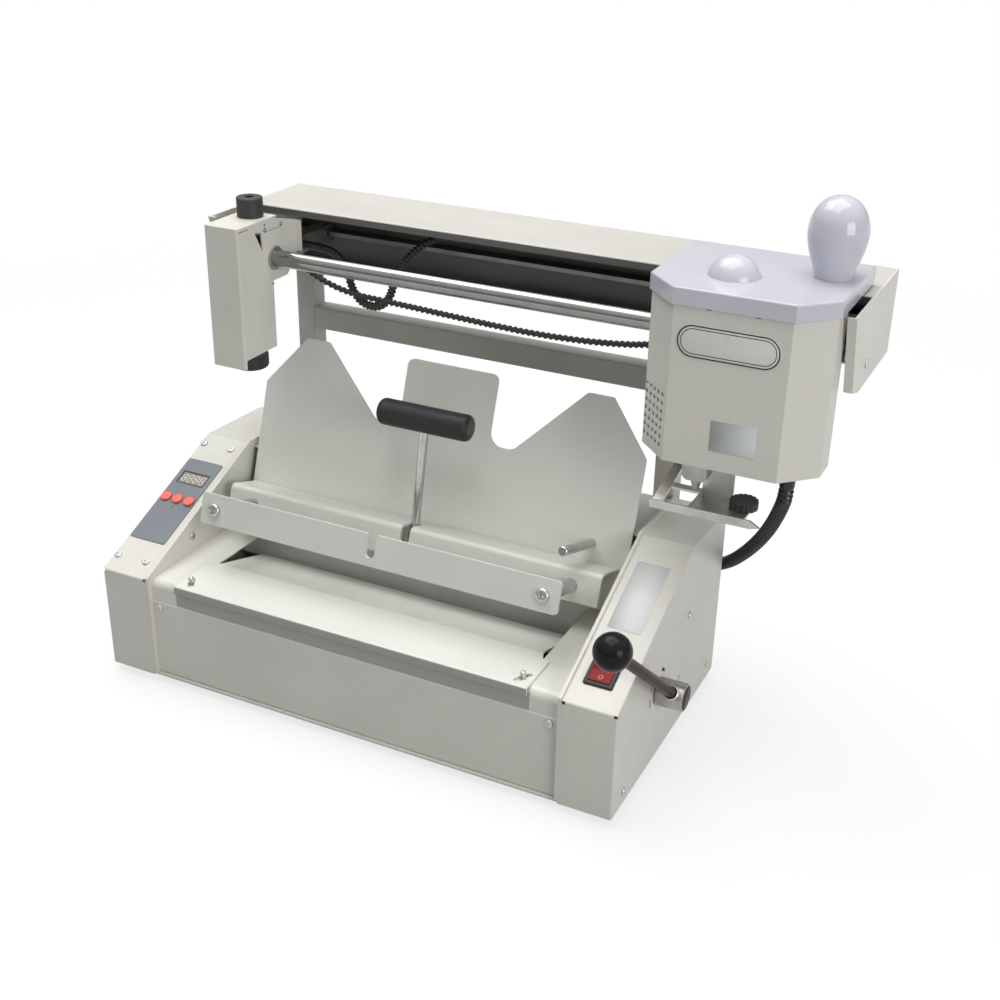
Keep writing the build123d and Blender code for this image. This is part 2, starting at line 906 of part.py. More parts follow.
def make_display():
    window = Box(display_width, display_length, display_depth)
    return SLOPE * Pos(-overlay_side, display_up, overlay_gauge / 2 - display_depth / 2) * window


def make_button(side):
    cap = Cylinder(button_radius, button_height + button_depth)
    cap = fillet(cap.edges().group_by(Axis.Z)[-1], 0.8)
    middle = overlay_gauge + button_height - (button_height + button_depth) / 2
    return SLOPE * Pos(-side, button_up, middle) * cap


def make_rocker_bezel():
    frame = Pos(0, 0, rocker_bezel_gauge / 2) * Box(
        rocker_bezel_width, rocker_bezel_length, rocker_bezel_gauge
    )
    frame = fillet(frame.edges().filter_by(Axis.Z), 1.5)
    frame = chamfer(frame.edges().group_by(Axis.Z)[-1], 0.8)
    frame += Pos(0, 0, -rocker_body_depth / 2) * Box(
        rocker_body_width, rocker_body_length, rocker_body_depth
    )
    frame -= Pos(0, 0, rocker_bezel_gauge - rocker_well / 2) * Box(
        rocker_width + 2 * slip, rocker_length + 4 * slip, rocker_well
    )
    pin = Pos(0, 0, -rocker_pivot_depth) * Rot(0, 90, 0)
    frame -= pin * Cylinder(rocker_pin_radius + running, rocker_width + 2 * rocker_pin_radius)
    return SLOPE * Pos(rocker_side, rocker_up, 0) * frame


# The rocker's two faces meet in a shallow valley. It lies tipped to its off end.
def make_power_rocker():
    tilt = radians(rocker_tilt)
    top = rocker_bezel_gauge + rocker_rise
    high_end = rocker_length / 2 - (top + rocker_pivot_depth) * sin(tilt)
    low_end = rocker_length / 2 - 1
    level = 1 - rocker_pivot_depth
    outline = [
        (-high_end, top), (0, top - high_end * tan(tilt)), (high_end, top),
        (low_end, level), (0, level - 3), (-low_end, level),
    ]
    body = prism_x(outline, -rocker_width / 2, rocker_width / 2)
    pin = Cylinder(rocker_pin_radius, rocker_width + 1.4 * rocker_pin_radius)
    body += Pos(0, 0, -rocker_pivot_depth) * Rot(0, 90, 0) * pin
    tip = Pos(0, 0, -rocker_pivot_depth) * Rot(rocker_tilt, 0, 0) * Pos(0, 0, rocker_pivot_depth)
    return SLOPE * Pos(rocker_side, rocker_up, 0) * tip * body


def make_hose_gland():
    flange = Cylinder(gland_flange, gland_flange_gauge, align=(Align.CENTER, Align.CENTER, Align.MIN))
    barrel = Cylinder(gland_radius, 2 * gland_length)
    bore = Pos(0, 0, gland_length) * Cylinder(hose_radius, 2 * (gland_length - gland_flange_gauge))
    gland = flange + barrel - bore
    return Pos(gland_side, base_depth, gland_height) * Rot(-90, 0, 0) * gland


def make_power_inlet():
    wide = inlet_width + 2 * inlet_border
    tall = inlet_tall + 2 * inlet_border
    flange = Pos(0, 0, inlet_flange / 2) * Box(wide, tall, inlet_flange)
    flange = fillet(flange.edges().filter_by(Axis.Z), inlet_flange)
    body = Pos(0, 0, -inlet_depth / 2) * Box(inlet_width - 2 * slip, inlet_tall - 2 * slip, inlet_depth)
    inlet = flange + body
    well = Box(inlet_width - 2 * inlet_rim, inlet_tall - 2 * inlet_rim, inlet_depth)
    well = chamfer(well.edges().filter_by(Axis.Z).group_by(Axis.Y)[-1], inlet_rim)
    inlet -= Pos(0, 0, inlet_flange) * well
    pin = Box(inlet_flange, 2 * inlet_flange, inlet_depth / 2)
    step = inlet_width / 4.5
    for x, y in ((0, step / 2), (-step, -step / 4), (step, -step / 4)):
        inlet += Pos(x, y, -inlet_depth / 4) * pin
    return Pos(-inlet_side, base_depth, inlet_height) * Rot(0, 0, 180) * Rot(90, 0, 0) * inlet


def make_upright():
    low = upright_foot
    outer = block(
        (upright_side - tube / 2, base_depth, low),
        (upright_side + tube / 2, base_depth + tube, upright_top),
    )
    outer = fillet(outer.edges().filter_by(Axis.Z), 2)
    inner = block(
        (upright_side - tube / 2 + tube_wall, base_depth + tube_wall, low - 1),
        (upright_side + tube / 2 - tube_wall, base_depth + tube - tube_wall, upright_top + 1),
    )
    return outer - inner


def make_crossbar():
    side = upright_side - tube / 2
    high = crossbar_low + crossbar_height
    outer = block((-side, base_depth, crossbar_low), (side, base_depth + tube, high))
    outer = fillet(outer.edges().filter_by(Axis.X), 2)
    inner = block(
        (-side - 1, base_depth + tube_wall, crossbar_low + tube_wall),
        (side + 1, base_depth + tube - tube_wall, high - tube_wall),
    )
    return outer - inner


def beam_back():
    return base_depth + tube + sheet


def make_top_beam():
    back = beam_back()
    points = [
        (beam_front, beam_top - beam_lip), (beam_front, beam_top), (back, beam_top),
        (back, upright_top), (back - tube, upright_top),
    ]
    left = -beam_left + end_plate_gauge
    right = beam_right - end_plate_gauge
    path = FilletPolyline(*points, radius=bend)
    section = make_face(offset(path, amount=sheet, side=Side.RIGHT))
    return Pos(left, 0, 0) * extrude(Plane.YZ * section, right - left, dir=(1, 0, 0))


# The right end plate, with its front edge folded inwards
def make_end_plate():
    outline = [
        (end_plate_front, beam_top),
        (beam_back(), beam_top),
        (beam_back(), upright_top),
        (end_plate_heel + 20, upright_top),
        (end_plate_heel, end_plate_bottom),
    ]
    plate = prism_x(outline, 0, end_plate_gauge)
    reach = end_plate_gauge + end_plate_flange
    flange = [
        (end_plate_front, beam_top),
        (end_plate_front + end_plate_gauge, beam_top),
        (end_plate_heel + end_plate_gauge, end_plate_bottom),
        (end_plate_heel, end_plate_bottom),
    ]
    plate += prism_x(flange, end_plate_gauge - reach, 0)
    return plate


def make_right_end_plate():
    plate = Pos(beam_right - end_plate_gauge, 0, 0) * make_end_plate()
    return bore_screws(plate, beam_screw_places())


def make_left_end_plate():
    plate = Pos(-beam_left + end_plate_gauge, 0, 0) * mirrored(make_end_plate())
    return bore_screws(plate, beam_screw_places())


def make_guide_shaft():
    left = -beam_left + end_plate_gauge
    right = beam_right - end_plate_gauge
    shaft = rod_x(shaft_radius, left, right, shaft_back, shaft_height)
    return chamfer(shaft.edges().filter_by(GeomType.CIRCLE), 0.8)


def make_rear_rail():
    left = -beam_left + end_plate_gauge
    right = beam_right - end_plate_gauge
    back = beam_back() - sheet
    low = rail_height - rail_gauge / 2
    return block((left, back - rail_depth, low), (right, back, low + rail_gauge))


# A block that runs on the shaft, with an arm whose fork grips the rear rail
def make_carriage(x0, x1, front, arm_side):
    body = block((x0, front, carriage_low), (x1, carriage_back, carriage_high))
    body = fillet(body.edges().filter_by(Axis.X).group_by(Axis.Y)[-1], 5)
    low = rail_height - fork_height / 2
    arm = block(
        (arm_side - arm_width / 2, carriage_back - 6, low),
        (arm_side + arm_width / 2, fork_reach, low + fork_height),
    )
    gap = rail_gauge / 2 + slip
    slot = block(
        (arm_side - arm_width, fork_reach - fork_depth, rail_height - gap),
        (arm_side + arm_width, fork_reach + 1, rail_height + gap),
    )
    body += arm
    body -= slot
    body -= rod_x(shaft_radius + bore_clearance, x0 - 50, x1 + 50, shaft_back, shaft_height)
    return body


# A folded case, open behind and below. Its right side runs back past the shaft as an ear.
def make_milling_case():
    left = -mill_left
    right = mill_right
    back = mill_front + mill_wall_depth
    shell = block((left, mill_front, mill_bottom), (right, back, mill_top))
    shell = fillet(shell.edges().filter_by(Axis.Z).group_by(Axis.Y)[0], bend)
    hollow = block(
        (left + sheet, mill_front + sheet, mill_bottom - 1), (right - sheet, back + 1, mill_top - sheet)
    )
    shell -= hollow
    shell -= block((left - 1, mill_front + 2 * sheet, 0), (right + 1, back + 1, mill_bottom + mill_lip))
    roof_back = mill_front + mill_depth
    shell += block((left, back - 1, mill_top - sheet), (right, roof_back, mill_top))
    corner = mill_ear_back - mill_ear_corner
    ear = [
        (back - 1, mill_ear_low), (corner, mill_ear_low), (mill_ear_back, mill_ear_low + mill_ear_corner),
        (mill_ear_back, mill_ear_high), (back - 1, mill_top),
    ]
    shell += prism_x(ear, right - sheet, right)
    flange = block(
        (right - sheet, mill_ear_back - sheet, mill_ear_low + mill_ear_corner),
        (right + mill_ear_flange, mill_ear_back, mill_ear_high),
    )
    shell += flange
    shell -= rod_x(collar_radius + slip, left - 5, right + 5, shaft_back, shaft_height)
    shell -= prism_x(fold_notch(), right - 2 * sheet, right + 1)
    seam_low = mill_top - 2 * sheet - mill_seam
    shell -= block(
        (right - 2 * sheet, mill_front + bend, seam_low),
        (right + 1, mill_front + 8 * bend, seam_low + mill_seam),
    )
    screw_y = mill_front + 40
    for y, z in ((screw_y, mill_top - 5), (screw_y, mill_top - 9.6), (screw_y + 24.5, mill_top - 9.2)):
        shell -= rod_x(mill_screw_radius, right - 2 * sheet, right + 1, y, z)
    shell -= rod_z(knob_stem_radius + running, mill_bottom, mill_top + 1, mill_middle, knob_back)
    return shell


# The three-cornered opening where the folds of the milling case meet
def fold_notch():
    top = mill_top - 9
    y = mill_front + 25
    return [(y, top), (y + 9.5, top - 1.5), (y + 10.5, top - 19)]


def make_milling_carriage():
    x0 = -mill_left + sheet + slip / 2
    x1 = mill_right - sheet
    body = make_carriage(x0, x1, mill_front + mill_wall_depth - 12, mill_middle)
    collar = rod_x(collar_radius, x1, x1 + sheet + collar_proud, shaft_back, shaft_height)
    collar -= rod_x(shaft_radius + bore_clearance, x1 - 1, x1 + 10, shaft_back, shaft_height)
    body += collar
    ledge_front = cutter_back - motor_radius
    body += block(
        (x0, ledge_front, carriage_low), (x1, mill_front + mill_wall_depth, carriage_low + motor_ledge)
    )
    stem = rod_z(knob_stem_radius + running, carriage_high - 12, carriage_high + 1, mill_middle, knob_back)
    return body - stem


def make_milling_motor():
    can = rod_z(motor_radius, motor_low, carriage_low, mill_middle, cutter_back)
    return fillet(can.edges().group_by(Axis.Z)[0], motor_round)


def make_cutter():
    x = mill_middle
    y = cutter_back
    disc = rod_z(cutter_radius, cutter_low, cutter_low + cutter_height, x, y)
    disc = fillet(disc.edges().group_by(Axis.Z)[0], motor_round)
    return disc + rod_z(spindle_radius, cutter_low + cutter_height, motor_low - slip, x, y)


def make_depth_knob():
    low = mill_top + slip
    x = mill_middle
    knob = rod_z(knob_radius, low, low + knob_height, x, knob_back)
    knob = fillet(knob.edges().group_by(Axis.Z)[-1], 1.2)
    knob -= rod_z(knob_stem_radius, low + knob_height - knob_recess, low + knob_height + 1, x, knob_back)
    return knob + rod_z(knob_stem_radius, carriage_high - 11, low, x, knob_back)


def glue_outline(grow, back):
    cut = glue_chamfer + grow * (2 ** 0.5 - 1)
    left = glue_left - grow
    right = glue_right + grow
    front = glue_front - grow
    return [
        (left, back), (left, front + cut), (left + cut, front), (right - cut, front),
        (right, front + cut), (right, back),
    ]


def make_glue_case():
    outer = prism_z(glue_outline(0, glue_back), glue_low, glue_high)
    inner = prism_z(glue_outline(-sheet, glue_back - sheet), glue_low + sheet, glue_high + 1)
    case = outer - inner
    case -= vent_cut()
    case -= rod_z(nozzle_radius + running, glue_low - 1, pot_low, nozzle_side, nozzle_back)
    return case


# Rows of round holes through the left chamfer
def vent_cut():
    middle = (glue_left + glue_chamfer / 2, glue_front + glue_chamfer / 2)
    face = Plane(origin=(middle[0], middle[1], vent_low), x_dir=(1, -1, 0), z_dir=(-1, -1, 0))
    width = (vent_columns - 1) * vent_pitch + 2 * vent_shift
    places = []
    for column in range(vent_columns):
        for row in range(vent_rows):
            places.append((column * vent_pitch - width / 2, row * vent_pitch))
    holes = [Pos(x, y, 0) * Cylinder(vent_radius, 6 * sheet) for x, y in places]
    return [face * hole for hole in holes]


def make_glue_carriage():
    return make_carriage(pot_left, pot_right, glue_back, (pot_left + pot_right) / 2)


def make_glue_pot():
    outer = block((pot_left, pot_front, pot_low), (pot_right, pot_back, pot_high))
    outer = fillet(outer.edges().filter_by(Axis.Z), 6)
    inner = block(
        (pot_left + pot_wall, pot_front + pot_wall, pot_low + pot_wall),
        (pot_right - pot_wall, pot_back - pot_wall, pot_high + 1),
    )
    inner = fillet(inner.edges().filter_by(Axis.Z), 3)
    lip_front = glue_front + sheet
    lip_back = glue_back - sheet
    lip = block((pot_left, lip_front, pot_high - 3), (pot_right, lip_back, pot_high))
    return outer + lip - inner


# The heated block under the case, its lower corners cut off, with the pipe from the pot and the tip
def make_glue_nozzle():
    wide = nozzle_block_width / 2
    deep = nozzle_block_depth / 2
    top = glue_low - slip
    low = top - nozzle_block_height
    body = block(
        (nozzle_side - wide, nozzle_back - deep, low), (nozzle_side + wide, nozzle_back + deep, top)
    )
    body = chamfer(body.edges().filter_by(Axis.Y).group_by(Axis.Z)[0], wide / 3)
    pipe = rod_z(nozzle_radius, top, pot_low, nozzle_side, nozzle_back)
    tip_height = low - nozzle_low
    tip = Pos(nozzle_side, nozzle_back, nozzle_low + tip_height / 2) * Cone(
        nozzle_radius / 2, nozzle_radius, tip_height
    )
    nozzle = body + pipe + tip
    return nozzle - rod_z(nozzle_bore, 0, pot_low + 1, nozzle_side, nozzle_back)


# The open tray below the nozzle: a front strip with a pointed end, a rising arm, a shelf and a post
def make_drip_tray():
    high = tray_low + tray_height
    face = [
        (tray_left, tray_low), (tray_right, tray_low), (tray_right + tray_tip, tray_low + tray_gauge),
        (tray_right, high), (tray_left, high),
    ]
    strip = extrude(Plane.XZ * make_face(Polyline(*face, close=True)), tray_gauge, dir=(0, 1, 0))
    tray = Pos(0, tray_front, 0) * strip
    base = tray_low + tray_gauge
    side = [
        (tray_front, tray_low), (tray_arm_back, tray_low + tray_arm_rise), (tray_arm_back, glue_low),
        (tray_arm_back - tray_gauge, glue_low), (tray_arm_back - tray_gauge, base + tray_arm_rise),
        (tray_front, base),
    ]
    tray += prism_x(side, tray_left, tray_left + tray_arm_width)
    left = post_side - post_width / 2
    right = post_side + post_width / 2
    tray += block((left, tray_front, tray_low), (right, post_back, base))
    tray += block((tray_left, post_back - tray_arm_width, tray_low), (left, post_back, base))
    tray += block((left, post_back - tray_gauge, tray_low), (right, post_back, glue_low))
    seat = turn_knob_side + 3 * turn_knob_pin
    tray += block((right, tray_front, tray_low), (seat, turn_knob_back + 3 * turn_knob_pin, base))
    return tray - rod_z(turn_knob_pin + running, 0, high, turn_knob_side, turn_knob_back)


def make_turn_knob():
    low = tray_low + tray_gauge + slip
    high = low + turn_knob_height
    knob = rod_z(turn_knob_radius, low, high, turn_knob_side, turn_knob_back)
    for i in range(turn_knob_ribs):
        angle = 2 * pi * i / turn_knob_ribs
        x = turn_knob_side + (turn_knob_radius + 0.6) * cos(angle)
        y = turn_knob_back + (turn_knob_radius + 0.6) * sin(angle)
        knob -= rod_z(1.4, low - 1, high + 1, x, y)
    return knob + rod_z(turn_knob_pin, tray_low - 3, low, turn_knob_side, turn_knob_back)


# The lift-off lid, whose skirt drops round the case, with its moulded dome
def make_glue_lid():
    high = lid_low + lid_height
    points = glue_outline(lid_overhang, lid_back)
    lid = prism_z(points, lid_low, high)
    lid = fillet(lid.edges().group_by(Axis.Z)[-1], lid_round)
    inside = glue_outline(lid_overhang - lid_wall, lid_back - lid_wall)
    lid -= prism_z(inside, lid_low - 1, high - lid_wall)
    ball = (dome_radius ** 2 + dome_height ** 2) / (2 * dome_height)
    dome = Pos(dome_side, dome_back, high + dome_height - ball) * Sphere(ball)
    dome &= rod_z(dome_radius + 1, high, high + dome_height + 1, dome_side, dome_back)
    lid += dome
    return lid


# The egg-shaped handle, turned about its own axis
def make_egg_knob():
    outline = Spline(
        (egg_foot, 0), (egg_foot * 1.32, egg_belly * 0.42), (egg_radius, egg_belly),
        (egg_radius * 0.8, egg_height * 0.83), (0, egg_height),
        tangents=((0.25, 1), (-1, 0)),
    )
    section = make_face([outline, Line((0, egg_height), (0, 0)), Line((0, 0), (egg_foot, 0))])
    egg = revolve(Plane.XZ * section, Axis.Z)
    return Pos(egg_side, egg_back, lid_low + lid_height) * egg


# A tube along straight runs joined by arcs as large as the runs allow
def route(points):
    radii = []
    for before, here, after in zip(points, points[1:], points[2:]):
        run_in = Vector(*here) - Vector(*before)
        run_out = Vector(*after) - Vector(*here)
        turn = radians(run_in.get_angle(run_out))
        radii.append(0.45 * min(run_in.length, run_out.length) / tan(turn / 2))
    print("radii", [round(r, 1) for r in radii])
    return FilletPolyline(*points, radius=radii)


def tube_along(path, radius):
    start = Plane(origin=path @ 0, z_dir=path % 0)
    return sweep(start * Circle(radius), path=path)


# The plane square to the path at a given length along it, its X axis held to one heading
def square_to(path, along):
    share = along / path.length
    heading = path % share
    sideways = Vector(0.6, 0, 0.8)
    sideways -= heading * sideways.dot(heading)
    return Plane(origin=path @ share, x_dir=sideways, z_dir=heading)


# A ruled loft through circles, each given by its length along the path and its radius
def ruled_tube(path, stations):
    circles = [Wire(Edge.make_circle(radius, square_to(path, along))) for along, radius in stations]
    return Solid.make_loft(circles, ruled=True)


# Plain ends one diameter long, and between them ribs that rise from a groove to a crest and fall back
def ribbed_tube(path, radius, groove, pitch):
    plain = 2 * radius
    ribs = round((path.length - 2 * plain) / pitch)
    step = (path.length - 2 * plain) / ribs
    print("length", round(path.length, 1), "ribs", ribs)
    floor_radius = radius - groove
    tube_ends = [(0, plain), (path.length - plain, path.length)]
    pieces = [ruled_tube(path, [(low, radius), (high, radius)]) for low, high in tube_ends]
    for i in range(ribs):
        start = plain + i * step
        crest = [(start + 0.2 * step, radius), (start + 0.8 * step, radius)]
        pieces.append(ruled_tube(path, [(start, floor_radius), *crest, (start + step, floor_radius)]))
    return pieces[0].fuse(*pieces[1:])


def make_glue_hose():
    points = [
        (hose_side, hose_back, glue_low), (hose_side, hose_back, 252.0), (331.0, 134.0, 231.0),
        (321.0, 155.0, 203.0), (308.0, 179.0, 173.0), (293.0, 207.0, 147.0), (275.0, 238.0, 121.0),
        (255.0, 266.0, 103.0), (231.0, 288.0, 91.0), (204.0, 302.0, 83.0), (178.0, 309.0, 77.0),
        (155.0, 307.5, 73.0), (137.5, 297.5, 71.0), (gland_side, 277.5, gland_height),
        (gland_side, base_depth + gland_flange_gauge, gland_height),
    ]
    path = route(points)
    return ribbed_tube(path, hose_radius, hose_groove, hose_rib) - tube_along(path, hose_bore)


# The cable between the two heads, and the slack lead that hangs in a loop behind the shaft
def make_head_cable():
    cable = [
        (mill_right, 182.0, 349.0), (mill_right + 11.5, 182.0, 349.0), (-126.0, 183.0, 339.0),
        (-96.0, 185.0, 329.6), (-52.0, 186.0, 327.6), (-5.0, 185.0, 326.0), (42.0, 186.0, 323.6),
        (86.0, 185.0, 322.8), (128.0, 185.0, 324.0), (163.0, 184.0, 327.2), (190.0, 181.0, 332.2),
        (211.0, 175.0, 340.5), (228.0, 163.0, 349.5), (pot_left, 163.0, 349.5),
    ]
    arm_side = mill_middle + arm_width / 2
    slack = [
        (arm_side, 215.0, rail_height), (arm_side + 18.0, 215.0, rail_height), (-126.0, 210.0, 357.0),
        (-109.0, 203.0, 346.0), (-103.0, 200.0, 329.0), (-92.0, 199.5, 316.5), (-74.0, 199.5, 315.5),
        (-62.5, 200.0, 327.0), (-59.0, 202.0, 345.0), (-46.0, 208.0, 361.0), (-26.0, 220.0, 371.0),
        (-6.0, 236.0, 374.0), (6.0, 253.0, 374.0), (6.0, beam_back() - sheet, 374.0),
    ]
    return [
        ribbed_tube(route(cable), cable_radius, cable_groove, cable_rib),
        ribbed_tube(route(slack), slack_radius, slack_groove, slack_rib),
    ]


def write_part(name, solids):
    if not isinstance(solids, (list, tuple)):
        solids = [solids]
    bodies = []
    for solid in solids:
        bodies += list(solid.solids())
    place = Pos(0, -base_depth / 2, foot_height)
    group = Compound(label=name, children=[place * body for body in bodies])
    if len(bodies) == 1:
        group = place * bodies[0]
        group.label = name
    export_step(group, f"parts/{name}.step")


os.makedirs("parts", exist_ok=True)

right_side_plate = make_side_plate()
pieces = {
    "base_pan": make_base_pan(),
    "feet": make_feet(),
    "left_side_plate": mirrored(right_side_plate),
    "right_side_plate": right_side_plate,
    "left_housing": make_left_housing(),
    "right_housing": make_right_housing(),
    "front_cover": make_front_cover(),
    "rear_panel": make_rear_panel(),
    "table_cover": make_table_cover(),
    "table_pegs": make_table_pegs(),
    "case_screws": make_case_screws(),
    "table_plate": make_table_plate(),
    "table_posts": make_table_posts(),
    "shaft_bearings": make_shaft_bearings(),
    "lever_shaft": make_lever_shaft(),
    "lift_cams": make_lift_cams(),
    "lever_hub": make_lever_hub(),
    "lever_arm": make_lever_arm(),
    "lever_ball": make_lever_ball(),
    "back_plate": make_back_plate(),
    "plate_brackets": make_plate_brackets(),
    "stop_pin": make_stop_pin(),
    "guide_rods": make_guide_rods(),
    "press_bar": make_press_bar(),
    "press_bar_screws": make_press_bar_screws(),
    "clamp_jaw": make_clamp_jaw(),
    "clamp_lever_rod": make_clamp_lever_rod(),
    "clamp_lever_grip": make_clamp_lever_grip(),
    "panel_overlay": make_panel_overlay(),
    "display": make_display(),
    "left_button": make_button(button_sides[0]),
    "middle_button": make_button(button_sides[1]),
    "right_button": make_button(button_sides[2]),
    "rocker_bezel": make_rocker_bezel(),
    "power_rocker": make_power_rocker(),
    "hose_gland": make_hose_gland(),
    "power_inlet": make_power_inlet(),
    "left_upright": mirrored(make_upright()),
    "right_upright": make_upright(),
    "crossbar": make_crossbar(),
    "top_beam": make_top_beam(),
    "left_end_plate": make_left_end_plate(),
    "right_end_plate": make_right_end_plate(),
    "guide_shaft": make_guide_shaft(),
    "rear_rail": make_rear_rail(),
    "milling_case": make_milling_case(),
    "milling_carriage": make_milling_carriage(),
    "milling_motor": make_milling_motor(),
    "cutter": make_cutter(),
    "depth_knob": make_depth_knob(),
    "glue_case": make_glue_case(),
    "glue_carriage": make_glue_carriage(),
    "glue_pot": make_glue_pot(),
    "glue_nozzle": make_glue_nozzle(),
    "drip_tray": make_drip_tray(),
    "turn_knob": make_turn_knob(),
    "glue_lid": make_glue_lid(),
    "egg_knob": make_egg_knob(),
    "glue_hose": make_glue_hose(),
    "head_cable": make_head_cable(),
}
for name, solids in pieces.items():
    write_part(name, solids)
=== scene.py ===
import math
import bmesh
import bpy
import numpy as np
from mathutils import Matrix


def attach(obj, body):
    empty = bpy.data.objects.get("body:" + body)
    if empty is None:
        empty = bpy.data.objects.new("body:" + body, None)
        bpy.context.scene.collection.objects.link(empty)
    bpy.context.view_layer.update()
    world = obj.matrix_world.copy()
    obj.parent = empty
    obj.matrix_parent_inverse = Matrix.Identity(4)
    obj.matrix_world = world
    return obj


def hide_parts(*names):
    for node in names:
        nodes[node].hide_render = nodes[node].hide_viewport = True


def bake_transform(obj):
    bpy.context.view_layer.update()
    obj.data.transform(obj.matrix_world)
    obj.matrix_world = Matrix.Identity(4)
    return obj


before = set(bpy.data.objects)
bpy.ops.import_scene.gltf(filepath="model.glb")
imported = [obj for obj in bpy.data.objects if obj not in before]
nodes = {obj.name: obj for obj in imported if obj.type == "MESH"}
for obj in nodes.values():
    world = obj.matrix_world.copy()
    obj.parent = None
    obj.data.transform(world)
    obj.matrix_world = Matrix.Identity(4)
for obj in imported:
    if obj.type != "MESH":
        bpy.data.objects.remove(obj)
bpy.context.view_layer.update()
print("frame loaded:", len(nodes), "nodes")

# The base case as the frame holds it, in millimetres from the middle of the base's front edge
base = {
    "depth": 252.0,
    "footHeight": 8.0,
    "frontHeight": 99.0,
    "slopeRun": 164.0,
    "slopeRise": 71.0,
}
slopeAngle = math.atan2(base["slopeRise"], base["slopeRun"])


# From the machine's own millimetres to the frame's metres
def toFrame(points):
    shift = np.array([0.0, -base["depth"] / 2, base["footHeight"]])
    return (np.asarray(points, float) + shift) / 1000.0


# Camera: where the photographer stood, with angles in degrees
camera = {
    "lens": 50.1,
    "sensor": 36.0,
    "nearest": 0.05,
    "furthest": 50.0,
    "azimuth": 25.71,
    "elevation": 26.08,
    "roll": 1.16,
    "spot": (0.549, -0.9617, 0.722),
}


def rightOf(look):
    right = np.cross(look, (0.0, 0.0, 1.0))
    return right / np.linalg.norm(right)


# The matrix of a camera or lamp that looks along a direction from its spot
def lookMatrix(right, up, look, spot):
    matrix = np.eye(4)
    matrix[:3, 0] = right
    matrix[:3, 1] = up
    matrix[:3, 2] = -look
    matrix[:3, 3] = spot
    return Matrix(matrix.tolist())


def addCamera():
    azimuth = math.radians(camera["azimuth"])
    elevation = math.radians(camera["elevation"])
    roll = math.radians(camera["roll"])
    look = np.array([-math.sin(azimuth) * math.cos(elevation), math.cos(azimuth) * math.cos(elevation),
                     -math.sin(elevation)])
    right = rightOf(look)
    up = np.cross(right, look)
    across = right * math.cos(roll) + up * math.sin(roll)
    upward = up * math.cos(roll) - right * math.sin(roll)
    data = bpy.data.cameras.new("viewCamera")
    data.lens = camera["lens"]
    data.sensor_fit = "HORIZONTAL"
    data.sensor_width = camera["sensor"]
    data.clip_start = camera["nearest"]
    data.clip_end = camera["furthest"]
    view = bpy.data.objects.new("viewCamera", data)
    view.matrix_world = lookMatrix(across, upward, look, camera["spot"])
    bpy.context.scene.collection.objects.link(view)
    bpy.context.scene.camera = view


addCamera()
print("camera set")

# Mesh helpers: points within mergeWithin metres become one, and an edge is sharp from sharpFrom degrees.
# An outline has as many points at each corner as its steps say, and its sizes are in millimetres.
meshing = {"mergeWithin": 1e-7, "sharpFrom": 38.0}
outline = {"steps": 8, "smallestRadius": 0.02, "rimBend": 0.3, "beadSteps": 12, "beadPoints": 7}


# Faces of a grid of points: each cell joins a point to the next along and the next across
def gridFaces(rows, columns, wrapRows=False, wrapColumns=False):
    row = np.arange(rows if wrapRows else rows - 1)[:, None]
    column = np.arange(columns if wrapColumns else columns - 1)[None, :]
    nextRow = (row + 1) % rows
    nextColumn = (column + 1) % columns
    corners = [row * columns + column, row * columns + nextColumn, nextRow * columns + nextColumn,
               nextRow * columns + column]
    corners = [np.broadcast_to(corner, (row.size, column.size)) for corner in corners]
    return np.stack(corners, axis=-1).reshape(-1, 4)


# Faces of a tube of rings, with one face over each end
def closedTubeFaces(rings, sides):
    faces = list(gridFaces(rings, sides, wrapColumns=True))
    faces.append(np.arange(sides)[::-1])
    faces.append(np.arange(sides) + sides * (rings - 1))
    return faces


def newPiece(name, points, faces, material, smooth=True):
    mesh = bpy.data.meshes.new(name)
    mesh.from_pydata(np.asarray(points).reshape(-1, 3).tolist(), [], [list(face) for face in faces])
    work = bmesh.new()
    work.from_mesh(mesh)
    bmesh.ops.remove_doubles(work, verts=work.verts, dist=meshing["mergeWithin"])
    bmesh.ops.recalc_face_normals(work, faces=work.faces)
    work.to_mesh(mesh)
    work.free()
    mesh.polygons.foreach_set("use_smooth", np.full(len(mesh.polygons), smooth))
    if smooth:
        mesh.set_sharp_from_angle(angle=math.radians(meshing["sharpFrom"]))
    mesh.materials.append(material)
    piece = bpy.data.objects.new(name, mesh)
    bpy.context.scene.collection.objects.link(piece)
    return piece


# Axes turned by an angle about their X
def tilted(angle):
    cosine, sine = math.cos(angle), math.sin(angle)
    return np.array([(1, 0, 0), (0, cosine, sine), (0, -sine, cosine)], float)


# A spot is where a piece lies, in the machine's millimetres, and which way its own X, Y and Z run
def onSlope(x, up, out=0.0):
    cosine, sine = math.cos(slopeAngle), math.sin(slopeAngle)
    origin = (x, up * cosine - out * sine, base["frontHeight"] + up * sine + out * cosine)
    return np.array(origin), tilted(slopeAngle)


def facingFront(x, y, z):
    return np.array([x, y, z], float), np.array([(1, 0, 0), (0, 0, 1), (0, -1, 0)], float)


def facingRight(x, y, z):
    return np.array([x, y, z], float), np.array([(0, 1, 0), (0, 0, 1), (1, 0, 0)], float)


# A spot whose Z axis runs from one point towards another
def lookingFrom(first, second):
    first, second = np.array(first, float), np.array(second, float)
    along = (second - first) / np.linalg.norm(second - first)
    across = np.cross((1.0, 0.0, 0.0) if abs(along[0]) < 0.9 else (0.0, 1.0, 0.0), along)
    across /= np.linalg.norm(across)
    return first, np.array([across, np.cross(along, across), along])


def intoPlace(local, spot):
    origin, axes = spot
    return toFrame(origin + np.asarray(local, float) @ axes)


